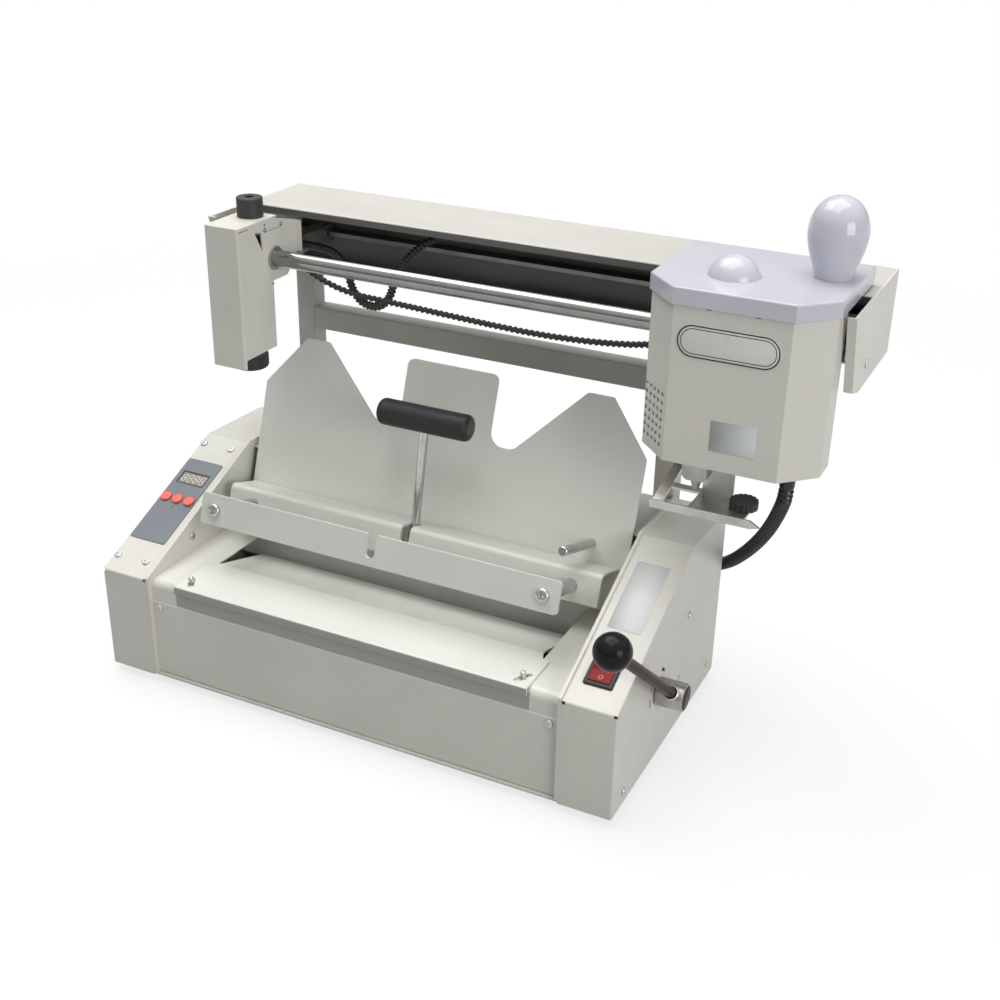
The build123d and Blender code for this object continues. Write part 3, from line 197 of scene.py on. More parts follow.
# A rectangle with rounded corners: each corner's centre plus its radius times cosine and sine
def roundedOutline(width, height, radius, inset, steps):
    angle = np.linspace(0, math.pi / 2, steps)[None, :] + np.arange(4)[:, None] * math.pi / 2
    signX = np.array([1, -1, -1, 1])[:, None]
    signY = np.array([1, 1, -1, -1])[:, None]
    cornerRadius = max(radius - inset, outline["smallestRadius"])
    x = signX * (width / 2 - radius) + cornerRadius * np.cos(angle)
    y = signY * (height / 2 - radius) + cornerRadius * np.sin(angle)
    return np.stack([x.ravel(), y.ravel()], axis=-1)


# Copies of that outline, each drawn in by its inset and lifted to its height
def outlineRings(width, height, radius, insets, lifts, steps):
    rings = []
    for inset, lift in zip(insets, lifts):
        ring = roundedOutline(width, height, radius, inset, steps)
        rings.append(np.c_[ring, np.full(len(ring), lift)])
    return np.stack(rings)


# A plate: its outline carried up its side, in over its rounded rim, and closed top and bottom
def plate(name, spot, width, height, radius, thick, rim, material):
    bend = outline["rimBend"] * rim
    rings = outlineRings(width, height, radius, [0.0, 0.0, bend, rim],
                         [0.0, thick - rim, thick - bend, thick], outline["steps"])
    faces = closedTubeFaces(len(rings), rings.shape[1])
    return newPiece(name, intoPlace(rings, spot), faces, material)


# A raised line along a closed outline: a half-round section carried round it
def outlineBead(name, spot, width, height, radius, lineWidth, rise, material):
    turn = np.linspace(0, math.pi, outline["beadPoints"])
    rings = outlineRings(width, height, radius, lineWidth / 2 * (1 - np.cos(turn)), rise * np.sin(turn),
                         outline["beadSteps"])
    faces = gridFaces(len(rings), rings.shape[1], wrapRows=True, wrapColumns=True)
    return newPiece(name, intoPlace(rings, spot), faces, material)


# A turned piece: a profile of radius and height spun about the local Z axis
def turned(name, spot, profile, material, sides):
    profile = np.asarray(profile, float)
    angle = np.linspace(0, 2 * math.pi, sides, endpoint=False)[None, :]
    radius = profile[:, :1]
    height = np.broadcast_to(profile[:, 1:], (len(profile), sides))
    local = np.stack([radius * np.cos(angle), radius * np.sin(angle), height], axis=-1)
    faces = gridFaces(len(profile), sides, wrapColumns=True)
    return newPiece(name, intoPlace(local, spot), faces, material)


# Material helpers: noise scales are in waves for each metre. An edge starts to take its worn colour, real
# wear and on the hose a painted glint, where the cosine of the normal's turn falls to edgeFrom, and takes it
# fully at edgeTo.
texture = {"smear": 45.0, "wearAndGlint": 130.0, "blotch": 60.0, "edgeFrom": 0.985, "edgeTo": 0.80,
           "bevelSamples": 4, "coatedBump": 0.35, "metalBump": 0.3}
metalEdge = {"Worn And Glint": (0.9, 0.9, 0.88), "Width": 0.0004, "Amount": 0.3}


def nodeGroup(name, inputs, outputs):
    group = bpy.data.node_groups.new(name, "ShaderNodeTree")
    for label, kind, value in inputs:
        socket = group.interface.new_socket(name=label, in_out="INPUT", socket_type=kind)
        if value is not None:
            socket.default_value = value
    for label, kind in outputs:
        group.interface.new_socket(name=label, in_out="OUTPUT", socket_type=kind)
    start = group.nodes.new("NodeGroupInput")
    end = group.nodes.new("NodeGroupOutput")
    return group, start, end


# A number or a colour becomes the socket's own value, and an output is linked to it
def feed(tree, source, socket):
    if isinstance(source, (int, float)):
        socket.default_value = source
    elif isinstance(source, tuple):
        socket.default_value = (*source, 1.0)
    else:
        tree.links.new(source, socket)


def objectSpot(tree):
    return tree.nodes.new("ShaderNodeTexCoord").outputs["Object"]


def noise(tree, vector, scale, detail, rough):
    node = tree.nodes.new("ShaderNodeTexNoise")
    for label, source in (("Vector", vector), ("Scale", scale), ("Detail", detail), ("Roughness", rough)):
        feed(tree, source, node.inputs[label])
    return node.outputs["Fac"]


def remap(tree, value, low, high, newLow=0.0, newHigh=1.0):
    node = tree.nodes.new("ShaderNodeMapRange")
    for label, source in (("Value", value), ("From Min", low), ("From Max", high), ("To Min", newLow),
                          ("To Max", newHigh)):
        feed(tree, source, node.inputs[label])
    return node.outputs["Result"]


# Inputs 6 and 7 of the mix are its two colours, and output 2 is the mixed one
def mixColour(tree, amount, first, second):
    node = tree.nodes.new("ShaderNodeMix")
    node.data_type = "RGBA"
    for label, source in (("Factor", amount), (6, first), (7, second)):
        feed(tree, source, node.inputs[label])
    return node.outputs[2]


def calculate(tree, kind, operation, sources):
    node = tree.nodes.new(kind)
    node.operation = operation
    for socket, source in zip(node.inputs, sources):
        feed(tree, source, socket)
    return node.outputs


def mathNode(tree, operation, *sources):
    return calculate(tree, "ShaderNodeMath", operation, sources)[0]


def vectorNode(tree, operation, *sources):
    return calculate(tree, "ShaderNodeVectorMath", operation, sources)


# Finish of a coated or moulded face: slow cloud in the colour, fine peel in the height
def buildFinishGroup():
    group, start, end = nodeGroup(
        "surfaceFinish",
        [("Colour", "NodeSocketColor", None), ("Shade", "NodeSocketColor", None),
         ("Cloud Size", "NodeSocketFloat", 14.0), ("Peel Size", "NodeSocketFloat", 900.0),
         ("Rough Low", "NodeSocketFloat", 0.4), ("Rough High", "NodeSocketFloat", 0.5)],
        [("Colour", "NodeSocketColor"), ("Roughness", "NodeSocketFloat"), ("Height", "NodeSocketFloat")],
    )
    given = start.outputs
    where = objectSpot(group)
    cloud = remap(group, noise(group, where, given["Cloud Size"], detail=4.0, rough=0.55), 0.35, 0.65)
    feed(group, mixColour(group, cloud, given["Colour"], given["Shade"]), end.inputs["Colour"])
    smear = noise(group, where, texture["smear"], detail=3.0, rough=0.6)
    rough = remap(group, smear, 0.3, 0.7, given["Rough Low"], given["Rough High"])
    feed(group, rough, end.inputs["Roughness"])
    feed(group, noise(group, where, given["Peel Size"], detail=2.0, rough=0.4), end.inputs["Height"])
    return group


# Where a worn edge shows, which on the hose is a painted glint: the rounded normal turns away from the flat
# one
def buildEdgeGroup():
    group, start, end = nodeGroup(
        "edgeWearAndGlint",
        [("Colour", "NodeSocketColor", None), ("Worn And Glint", "NodeSocketColor", None),
         ("Width", "NodeSocketFloat", 0.0007), ("Amount", "NodeSocketFloat", 0.6)],
        [("Colour", "NodeSocketColor"), ("Normal", "NodeSocketVector")],
    )
    given = start.outputs
    bevel = group.nodes.new("ShaderNodeBevel")
    bevel.samples = texture["bevelSamples"]
    feed(group, given["Width"], bevel.inputs["Radius"])
    flat = group.nodes.new("ShaderNodeNewGeometry").outputs["Normal"]
    turning = vectorNode(group, "DOT_PRODUCT", bevel.outputs["Normal"], flat)["Value"]
    edge = remap(group, turning, texture["edgeFrom"], texture["edgeTo"])
    wearAndGlint = noise(group, objectSpot(group), texture["wearAndGlint"], detail=3.0, rough=0.7)
    broken = mathNode(group, "MULTIPLY", edge, remap(group, wearAndGlint, 0.35, 0.7, 0.15, 1.0))
    mask = mathNode(group, "MULTIPLY", broken, given["Amount"])
    feed(group, mixColour(group, mask, given["Colour"], given["Worn And Glint"]), end.inputs["Colour"])
    feed(group, bevel.outputs["Normal"], end.inputs["Normal"])
    return group


# Drawn or turned metal: streaks far longer along one axis than across it
def buildDrawnGroup():
    group, start, end = nodeGroup(
        "drawnMetal",
        [("Colour", "NodeSocketColor", None), ("Shade", "NodeSocketColor", None),
         ("Stretch", "NodeSocketVector", None),
         ("Rough Low", "NodeSocketFloat", 0.15), ("Rough High", "NodeSocketFloat", 0.3)],
        [("Colour", "NodeSocketColor"), ("Roughness", "NodeSocketFloat"), ("Height", "NodeSocketFloat")],
    )
    given = start.outputs
    where = objectSpot(group)
    stretched = vectorNode(group, "MULTIPLY", where, given["Stretch"])[0]
    streak = noise(group, stretched, 1.0, detail=3.0, rough=0.6)
    blotch = remap(group, noise(group, where, texture["blotch"], detail=3.0, rough=0.6), 0.3, 0.7)
    feed(group, mixColour(group, blotch, given["Colour"], given["Shade"]), end.inputs["Colour"])
    rough = remap(group, streak, 0.3, 0.7, given["Rough Low"], given["Rough High"])
    feed(group, rough, end.inputs["Roughness"])
    feed(group, streak, end.inputs["Height"])
    return group


# One inside a box of Object coordinates and nought outside it
def buildBoxGroup():
    group, start, end = nodeGroup("boxMask", [("Low", "NodeSocketVector", None),
                                              ("High", "NodeSocketVector", None)],
                                  [("Mask", "NodeSocketFloat")])
    where = objectSpot(group)
    above = vectorNode(group, "SUBTRACT", where, start.outputs["Low"])[0]
    below = vectorNode(group, "SUBTRACT", start.outputs["High"], where)[0]
    parts = group.nodes.new("ShaderNodeSeparateXYZ")
    feed(group, vectorNode(group, "MINIMUM", above, below)[0], parts.inputs[0])
    least = mathNode(group, "MINIMUM", parts.outputs["X"], parts.outputs["Y"])
    least = mathNode(group, "MINIMUM", least, parts.outputs["Z"])
    feed(group, mathNode(group, "GREATER_THAN", least, 0.0), end.inputs["Mask"])
    return group


boxGroup = buildBoxGroup()
finishGroup = buildFinishGroup()
edgeGroup = buildEdgeGroup()
drawnGroup = buildDrawnGroup()


def newMaterial(name):
    material = bpy.data.materials.new(name)
    material.use_nodes = True
    tree = material.node_tree
    shader = tree.nodes["Principled BSDF"]
    return material, tree, shader


def placeGroup(tree, group, values):
    node = tree.nodes.new("ShaderNodeGroup")
    node.node_tree = group
    for label, value in values.items():
        if isinstance(value, tuple) and len(value) == 3 and node.inputs[label].type == "RGBA":
            value = (*value, 1.0)
        node.inputs[label].default_value = value
    return node


def addBump(tree, shader, height, depth, strength, under):
    bump = tree.nodes.new("ShaderNodeBump")
    bump.inputs["Distance"].default_value = depth
    bump.inputs["Strength"].default_value = strength
    tree.links.new(height, bump.inputs["Height"])
    tree.links.new(under, bump.inputs["Normal"])
    tree.links.new(bump.outputs["Normal"], shader.inputs["Normal"])


# A coated, moulded or rubber finish, with worn edges, which on the hose are painted glints, and another
# colour within each box given, which is painted shade.
# Further inputs of the shader are named with an underscore for each space.
def coated(name, colour, shade, worn, rough=(0.4, 0.5), cloud=14.0, peel=900.0, depth=0.00006,
           edge=0.0007, wearAndGlint=0.6, within=(), **further):
    material, tree, shader = newMaterial(name)
    finish = placeGroup(tree, finishGroup, {"Colour": colour, "Shade": shade, "Cloud Size": cloud,
                                            "Peel Size": peel, "Rough Low": rough[0],
                                            "Rough High": rough[1]})
    rim = placeGroup(tree, edgeGroup, {"Worn And Glint": worn, "Width": edge, "Amount": wearAndGlint})
    tree.links.new(finish.outputs["Colour"], rim.inputs["Colour"])
    tint = rim.outputs["Colour"]
    for low, high, other in within:
        box = placeGroup(tree, boxGroup, {"Low": low, "High": high})
        tint = mixColour(tree, box.outputs["Mask"], tint, other)
    tree.links.new(tint, shader.inputs["Base Color"])
    tree.links.new(finish.outputs["Roughness"], shader.inputs["Roughness"])
    addBump(tree, shader, finish.outputs["Height"], depth, texture["coatedBump"], rim.outputs["Normal"])
    for label, value in further.items():
        shader.inputs[label.replace("_", " ")].default_value = value
    return material


def metal(name, colour, shade, stretch, rough=(0.12, 0.25), depth=0.00002):
    material, tree, shader = newMaterial(name)
    drawn = placeGroup(tree, drawnGroup, {"Colour": colour, "Shade": shade, "Stretch": stretch,
                                          "Rough Low": rough[0], "Rough High": rough[1]})
    rim = placeGroup(tree, edgeGroup, metalEdge)
    tree.links.new(drawn.outputs["Colour"], rim.inputs["Colour"])
    tree.links.new(rim.outputs["Colour"], shader.inputs["Base Color"])
    tree.links.new(drawn.outputs["Roughness"], shader.inputs["Roughness"])
    shader.inputs["Metallic"].default_value = 1.0
    addBump(tree, shader, drawn.outputs["Height"], depth, texture["metalBump"], rim.outputs["Normal"])
    return material


# Boxes in metres, from a low to a high corner, each with the colour that shows within it; each of these
# colours is painted shade
boxes = {
    # Dark hollow inside the beam: painted shade under its top and lip
    "beamHollowPaintedShade": ((-1.0, 0.0634, 0.3), (1.0, 0.1464, 0.4047), (0.11, 0.108, 0.10)),
    # Darker front lip of the table plate: painted shade
    "tableLipPaintedShade": ((-1.0, -0.13, 0.09), (1.0, -0.1236, 0.1072), (0.36, 0.358, 0.325)),
    # Darker front face of the table cover: painted shade under the table's edge
    "coverFrontPaintedShade": ((-0.1735, -0.13, 0.0), (0.1735, -0.114, 0.102), (0.40, 0.392, 0.35)),
}

# Finishes of the machine, in linear colour
coat = {"colour": (0.70, 0.688, 0.625), "shade": (0.66, 0.649, 0.59), "worn": (0.83, 0.82, 0.77),
        "plateWorn": (0.86, 0.87, 0.83)}
paint = coated("powderCoat", coat["colour"], coat["shade"], coat["worn"], rough=(0.34, 0.44))
# The beam's coat is a darker copy of the powder coat, which is painted shade, and it carries the painted
# shade of its hollow
beamShadedPaint = coated("beamCoatPaintedShade", (0.60, 0.584, 0.536), (0.57, 0.554, 0.506), coat["worn"], rough=(0.34, 0.44),
                   within=(boxes["beamHollowPaintedShade"],))
# A darker copy of the powder coat on the crossbar and uprights: painted shade
shadedPaint = coated("powderCoatPaintedShade", (0.50, 0.49, 0.45), (0.46, 0.452, 0.413), (0.62, 0.61, 0.57),
                   rough=(0.42, 0.52))
plateSteel = coated("plateSatin", (0.68, 0.686, 0.632), (0.65, 0.655, 0.603), coat["plateWorn"],
                    rough=(0.30, 0.42), peel=1400.0)
# The back plate's satin is a lighter copy of the plate satin: painted light
backSteelPaintedLight = coated("backPlateSatinPaintedLight", (0.775, 0.782, 0.722), (0.745, 0.752, 0.693), coat["plateWorn"],
                   rough=(0.30, 0.42), peel=1400.0)
# The table's satin is a lighter copy of the plate satin, which is painted light on the table, and it carries
# the painted shade of its front lip
tableSteelLitAndShaded = coated("tableSatinLitAndShaded", (0.76, 0.764, 0.708), (0.735, 0.739, 0.684), coat["plateWorn"],
                    rough=(0.28, 0.40), peel=1400.0, within=(boxes["tableLipPaintedShade"],))
# The table cover's coat carries the painted shade of its front face
coverShadedPaint = coated("coverCoatPaintedShade", (0.74, 0.73, 0.67), (0.70, 0.69, 0.632), coat["worn"], rough=(0.34, 0.44),
                    within=(boxes["coverFrontPaintedShade"],))
zinc = metal("zincSteel", (0.62, 0.61, 0.58), (0.50, 0.49, 0.46), (40.0, 500.0, 500.0), rough=(0.28, 0.45))
railSteel = metal("railSteel", (0.19, 0.187, 0.178), (0.15, 0.147, 0.138), (40.0, 500.0, 500.0),
                  rough=(0.3, 0.45))
chrome = metal("chromeSteel", (0.31, 0.307, 0.30), (0.26, 0.257, 0.25), (20.0, 900.0, 900.0),
               rough=(0.07, 0.15))
drawnRod = metal("drawnRod", (0.58, 0.58, 0.575), (0.46, 0.46, 0.455), (300.0, 300.0, 300.0),
                 rough=(0.12, 0.24))
# Lever arm and hub face: a dark red-brown with almost no gloss, a painted reflection of dark surroundings in
# the steel
leverPaintedReflection = coated("leverPaintedReflection", (0.050, 0.027, 0.024), (0.034, 0.019, 0.017), (0.11, 0.09, 0.085),
                    rough=(0.22, 0.3), peel=1500.0, depth=0.00002, wearAndGlint=0.1, edge=0.0005,
                    Specular_IOR_Level=0.03)
hubSteel = metal("hubSteel", (0.46, 0.44, 0.41), (0.36, 0.34, 0.315), (500.0, 60.0, 60.0),
                 rough=(0.26, 0.4))
screwSteel = metal("screwSteel", (0.66, 0.65, 0.62), (0.52, 0.51, 0.48), (900.0, 900.0, 900.0),
                   rough=(0.2, 0.34))
castAluminium = metal("castAluminium", (0.50, 0.495, 0.47), (0.38, 0.375, 0.36), (200.0, 200.0, 200.0),
                      rough=(0.38, 0.55), depth=0.00008)
blackPlastic = coated("blackPlastic", (0.008, 0.009, 0.009), (0.012, 0.012, 0.012), (0.02, 0.02, 0.02),
                      rough=(0.12, 0.2), peel=1500.0, depth=0.00002, wearAndGlint=0.2, Specular_IOR_Level=0.12)
satinBlack = coated("satinBlack", (0.022, 0.022, 0.022), (0.03, 0.03, 0.03), (0.05, 0.05, 0.05),
                    rough=(0.4, 0.52), peel=1900.0, depth=0.00004, wearAndGlint=0.3, Specular_IOR_Level=0.28)
blackMatte = coated("blackMatte", (0.034, 0.034, 0.033), (0.027, 0.027, 0.026), (0.07, 0.07, 0.07),
                    rough=(0.5, 0.62), peel=1700.0)
cutterBlack = coated("cutterBlack", (0.012, 0.012, 0.011), (0.018, 0.017, 0.016), (0.05, 0.048, 0.044),
                     rough=(0.4, 0.5), peel=1500.0)
blackRubber = coated("blackRubber", (0.02, 0.02, 0.02), (0.028, 0.028, 0.027), (0.045, 0.045, 0.045),
                     rough=(0.6, 0.75))
# Hose: its lighter rib-crest edges, drawn through the edge wear, are painted glints
hoseGlintPlastic = coated("hoseGlintPlastic", (0.007, 0.007, 0.007), (0.010, 0.010, 0.010), (0.11, 0.11, 0.105),
                     rough=(0.17, 0.27), peel=1600.0, depth=0.00003, wearAndGlint=0.9, edge=0.0006)
cablePlastic = coated("cablePlastic", (0.014, 0.0135, 0.013), (0.022, 0.021, 0.019), (0.04, 0.038, 0.035),
                      rough=(0.42, 0.55), peel=1600.0, depth=0.00003, wearAndGlint=0.2)
whitePlastic = coated("whitePlastic", (0.585, 0.59, 0.655), (0.565, 0.57, 0.633), (0.70, 0.70, 0.76),
                      rough=(0.12, 0.2), peel=260.0, depth=0.00004, wearAndGlint=0.3, Coat_Weight=0.25,
                      Coat_Roughness=0.08)
# The panel overlay: its own dark blue-grey, lifted to stand for its sheen, which is partly painted sheen
overlayFilmAndSheen = coated("overlayFilmAndSheen", (0.168, 0.192, 0.214), (0.155, 0.177, 0.198), (0.21, 0.23, 0.25),
                     rough=(0.3, 0.4), peel=2200.0, depth=0.00002)
displayWindow = coated("displayWindow", (0.26, 0.235, 0.205), (0.235, 0.212, 0.185), (0.05, 0.05, 0.05),
                       rough=(0.16, 0.24), depth=0.00001, wearAndGlint=0.9, edge=0.0012)
litSegment = coated("segmentPale", (0.82, 0.80, 0.74), (0.76, 0.74, 0.68), (0.85, 0.85, 0.8),
                    rough=(0.2, 0.3), depth=0.00001)
# The buttons glow faintly through their emission: painted light
redButtonGlow = coated("redButtonGlow", (0.92, 0.14, 0.10), (0.86, 0.12, 0.085), (0.62, 0.03, 0.03),
                   rough=(0.24, 0.34), depth=0.00002, wearAndGlint=0.8, edge=0.0009,
                   Emission_Color=(0.9, 0.12, 0.08, 1.0), Emission_Strength=0.12)
redRocker = coated("redRocker", (0.29, 0.008, 0.010), (0.25, 0.006, 0.009), (0.45, 0.04, 0.04),
                   rough=(0.16, 0.24), depth=0.00001, wearAndGlint=0.4, Specular_IOR_Level=0.1)
markWhite = coated("markWhite", (0.75, 0.75, 0.72), (0.70, 0.70, 0.67), (0.8, 0.8, 0.8))
badgeFace = coated("badgeFace", (0.735, 0.73, 0.685), (0.728, 0.723, 0.678), (0.735, 0.73, 0.685),
                   rough=(0.26, 0.29), peel=1500.0, depth=0.0, wearAndGlint=0.0)
labelFilm = coated("labelFilm", (0.575, 0.605, 0.60), (0.56, 0.59, 0.585), (0.64, 0.66, 0.65),
                   rough=(0.42, 0.52), peel=1800.0, depth=0.00002)
labelWhite = coated("labelWhite", (0.80, 0.815, 0.81), (0.785, 0.80, 0.795), (0.84, 0.85, 0.85),
                    rough=(0.5, 0.6), peel=1800.0, depth=0.00002)
inkBlack = coated("inkBlack", (0.014, 0.014, 0.014), (0.02, 0.02, 0.02), (0.03, 0.03, 0.03),
                  rough=(0.35, 0.5))

finishes = {
    paint: ["left_side_plate", "right_side_plate", "left_housing", "right_housing", "front_cover",
            "rear_panel", "milling_case", "glue_case", "left_end_plate", "right_end_plate", "base_pan"],
    beamShadedPaint: ["top_beam"],
    shadedPaint: ["crossbar", "left_upright", "right_upright"],
    plateSteel: ["clamp_jaw", "press_bar"],
    backSteelPaintedLight: ["back_plate"],
    tableSteelLitAndShaded: ["table_plate"],
    coverShadedPaint: ["table_cover"],
    zinc: ["plate_brackets", "table_posts", "shaft_bearings", "drip_tray", "table_pegs"],
    railSteel: ["rear_rail"],
    chrome: ["guide_shaft"],
    drawnRod: ["lever_shaft", "lever_arm", "clamp_lever_rod", "guide_rods", "stop_pin"],
    screwSteel: ["case_screws", "press_bar_screws", "lever_hub", "lift_cams"],
    castAluminium: ["milling_carriage", "milling_motor", "glue_carriage", "glue_pot", "glue_nozzle"],
    blackPlastic: ["lever_ball", "hose_gland", "power_inlet"],
    satinBlack: ["clamp_lever_grip", "rocker_bezel"],
    blackMatte: ["depth_knob"],
    cutterBlack: ["cutter", "turn_knob"],
    blackRubber: ["feet", "glue_hose", "head_cable"],
    whitePlastic: ["glue_lid", "egg_knob"],
    overlayFilmAndSheen: ["panel_overlay"],
    displayWindow: ["display"],
    redButtonGlow: ["left_button", "middle_button", "right_button"],
    redRocker: ["power_rocker"],
}
for material, names in finishes.items():
    for nodeName in names:
        data = nodes[nodeName].data
        data.materials.clear()
        data.materials.append(material)
        data.polygons.foreach_set("material_index", np.zeros(len(data.polygons), np.int32))
print("finishes on", sum(len(names) for names in finishes.values()), "nodes")

# Hose, cable and slack lead: a ribbed tube along the smooth line of each route, in metres.
# The groove is how deep the ribs go, and sharp how narrow their grooves are.
# A spiral of one lets a rib climb by one pitch for each turn round the tube.
hose = {
    "route": [(0.331, -0.008, 0.283), (0.331, -0.008, 0.264), (0.325, 0.007, 0.245), (0.314, 0.028, 0.2175),
              (0.301, 0.054, 0.1915), (0.287, 0.084, 0.166), (0.272, 0.114, 0.141), (0.255, 0.140, 0.1165),
              (0.234, 0.161, 0.0965), (0.207, 0.174, 0.087), (0.179, 0.182, 0.0835), (0.155, 0.1815, 0.081),
              (0.1375, 0.1715, 0.079), (0.126, 0.1515, 0.078), (0.126, 0.129, 0.078)],
    "diameter": 0.012, "groove": 0.0018, "pitch": 0.0046, "spiral": 0.0, "sharp": 2.2, "sides": 28,
}
cable = {
    "route": [(-0.1535, 0.056, 0.357), (-0.142, 0.056, 0.357), (-0.126, 0.057, 0.347),
              (-0.096, 0.059, 0.3376), (-0.052, 0.060, 0.3356), (-0.005, 0.059, 0.334),
              (0.042, 0.060, 0.3316), (0.086, 0.059, 0.3308), (0.128, 0.059, 0.332),
              (0.163, 0.058, 0.3352), (0.190, 0.055, 0.3402), (0.211, 0.049, 0.3485),
              (0.228, 0.037, 0.3575), (0.240, 0.037, 0.3575)],
    "diameter": 0.006, "groove": 0.0012, "pitch": 0.0052, "spiral": 1.0, "sharp": 2.0, "sides": 20,
}
slack = {
    "route": [(-0.16375, 0.089, 0.366), (-0.14575, 0.089, 0.366), (-0.126, 0.084, 0.365),
              (-0.109, 0.077, 0.354), (-0.103, 0.074, 0.337), (-0.092, 0.0735, 0.3245),
              (-0.074, 0.0735, 0.3235), (-0.0625, 0.074, 0.335), (-0.059, 0.076, 0.353),
              (-0.048, 0.084, 0.374), (-0.033, 0.096, 0.387), (-0.013, 0.113, 0.3935),
              (0.002, 0.130, 0.3935), (0.004, 0.146, 0.3925)],
    "diameter": 0.008, "groove": 0.0012, "pitch": 0.0036, "spiral": 0.0, "sharp": 2.2, "sides": 24,
}
tube = {"resolution": 24, "order": 3, "samplesPerRib": 8, "pathStep": 4, "steady": (0.6, 0.0, 0.8)}


# The points of the smooth line that a route's control points draw
def smoothLine(name, route):
    curve = bpy.data.curves.new(name, "CURVE")
    curve.dimensions = "3D"
    curve.resolution_u = tube["resolution"]
    spline = curve.splines.new("NURBS")
    spline.points.add(len(route) - 1)
    spline.points.foreach_set("co", np.c_[np.array(route), np.ones(len(route))].ravel())
    spline.order_u = tube["order"]
    spline.use_endpoint_u = True
    holder = bpy.data.objects.new(name, curve)
    bpy.context.scene.collection.objects.link(holder)
    mesh = bpy.data.meshes.new_from_object(holder)
    line = np.zeros(len(mesh.vertices) * 3)
    mesh.vertices.foreach_get("co", line)
    bpy.data.objects.remove(holder)
    bpy.data.meshes.remove(mesh)
    return line.reshape(-1, 3)


# That line with evenly spaced points, and how far along it each of them lies
def evenLine(name, cord):
    line = smoothLine(name, cord["route"])
    spacing = cord["pitch"] / tube["samplesPerRib"]
    run = np.r_[0, np.cumsum(np.linalg.norm(np.diff(line, axis=0), axis=1))]
    along = np.linspace(0, run[-1], int(round(run[-1] / spacing)) + 1)
    return np.stack([np.interp(along, run, line[:, k]) for k in range(3)], axis=-1), along


# Radius: the outer radius less a groove, which is deepest where the wave is a whole number.
# The ends stay plain for as many diameters as plainEnds says.
def ribbedTube(name, line, along, cord, material, plainEnds):
    heading = np.gradient(line, axis=0)
    heading /= np.linalg.norm(heading, axis=1, keepdims=True)
    steady = np.array(tube["steady"])
    across = steady - heading * (heading @ steady)[:, None]
    across /= np.linalg.norm(across, axis=1, keepdims=True)
    upward = np.cross(heading, across)
    angle = np.linspace(0, 2 * math.pi, cord["sides"], endpoint=False)
    wave = along[:, None] / cord["pitch"] + cord["spiral"] * angle[None, :] / (2 * math.pi)
    groove = cord["groove"] * np.abs(np.cos(math.pi * wave)) ** cord["sharp"]
    low = plainEnds[0] * cord["diameter"]
    high = along[-1] - plainEnds[1] * cord["diameter"]
    groove *= ((along >= low) & (along <= high))[:, None]
    radius = cord["diameter"] / 2 - groove
    ring = (across[:, None, :] * np.cos(angle)[None, :, None]
            + upward[:, None, :] * np.sin(angle)[None, :, None])
    points = line[:, None, :] + ring * radius[:, :, None]
    return newPiece(name, points, closedTubeFaces(len(line), cord["sides"]), material)


hoseLine, hoseRun = evenLine("hoseRoute", hose)
hosePiece = ribbedTube("glueHose", hoseLine, hoseRun, hose, hoseGlintPlastic, (1, 1))
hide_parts("glue_hose")
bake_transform(hosePiece)

# The cable is cut in two in the middle of its sag, one half towards each head
cableLine, cableRun = evenLine("cableRoute", cable)
middle = int(np.argmin(np.abs(cableLine[:, 0] - cable["route"][6][0])))
leftLine, leftRun = cableLine[:middle + 1], cableRun[:middle + 1]
rightLine, rightRun = cableLine[middle:][::-1], (cableRun[-1] - cableRun[middle:])[::-1]
for name, line, run, body in (("headCableLeft", leftLine, leftRun, "milling_head"),
                              ("headCableRight", rightLine, rightRun, "glue_head")):
    piece = ribbedTube(name, line, run, cable, cablePlastic, (1, 0))
    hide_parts("head_cable")
    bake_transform(piece)

slackLine, slackRun = evenLine("slackRoute", slack)
slackPiece = ribbedTube("slackLead", slackLine, slackRun, slack, cablePlastic, (1, 1))
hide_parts("head_cable")
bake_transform(slackPiece)
print("hose", round(float(hoseRun[-1]), 3), "cable", round(float(cableRun[-1]), 3), "slack",
      round(float(slackRun[-1]), 3))

# Display: its figures and the border of its window, in millimetres
display = {"x": -228.9, "up": 120.0, "out": 0.4, "digits": 4, "pitch": 6.6, "width": 4.0, "height": 8.0,
           "stroke": 0.9, "gap": 0.35, "slant": 0.13, "sink": 0.02, "rise": 0.12,
           "rim": {"width": 29.6, "height": 14.6, "radius": 0.8, "line": 1.3, "rise": 0.25}}


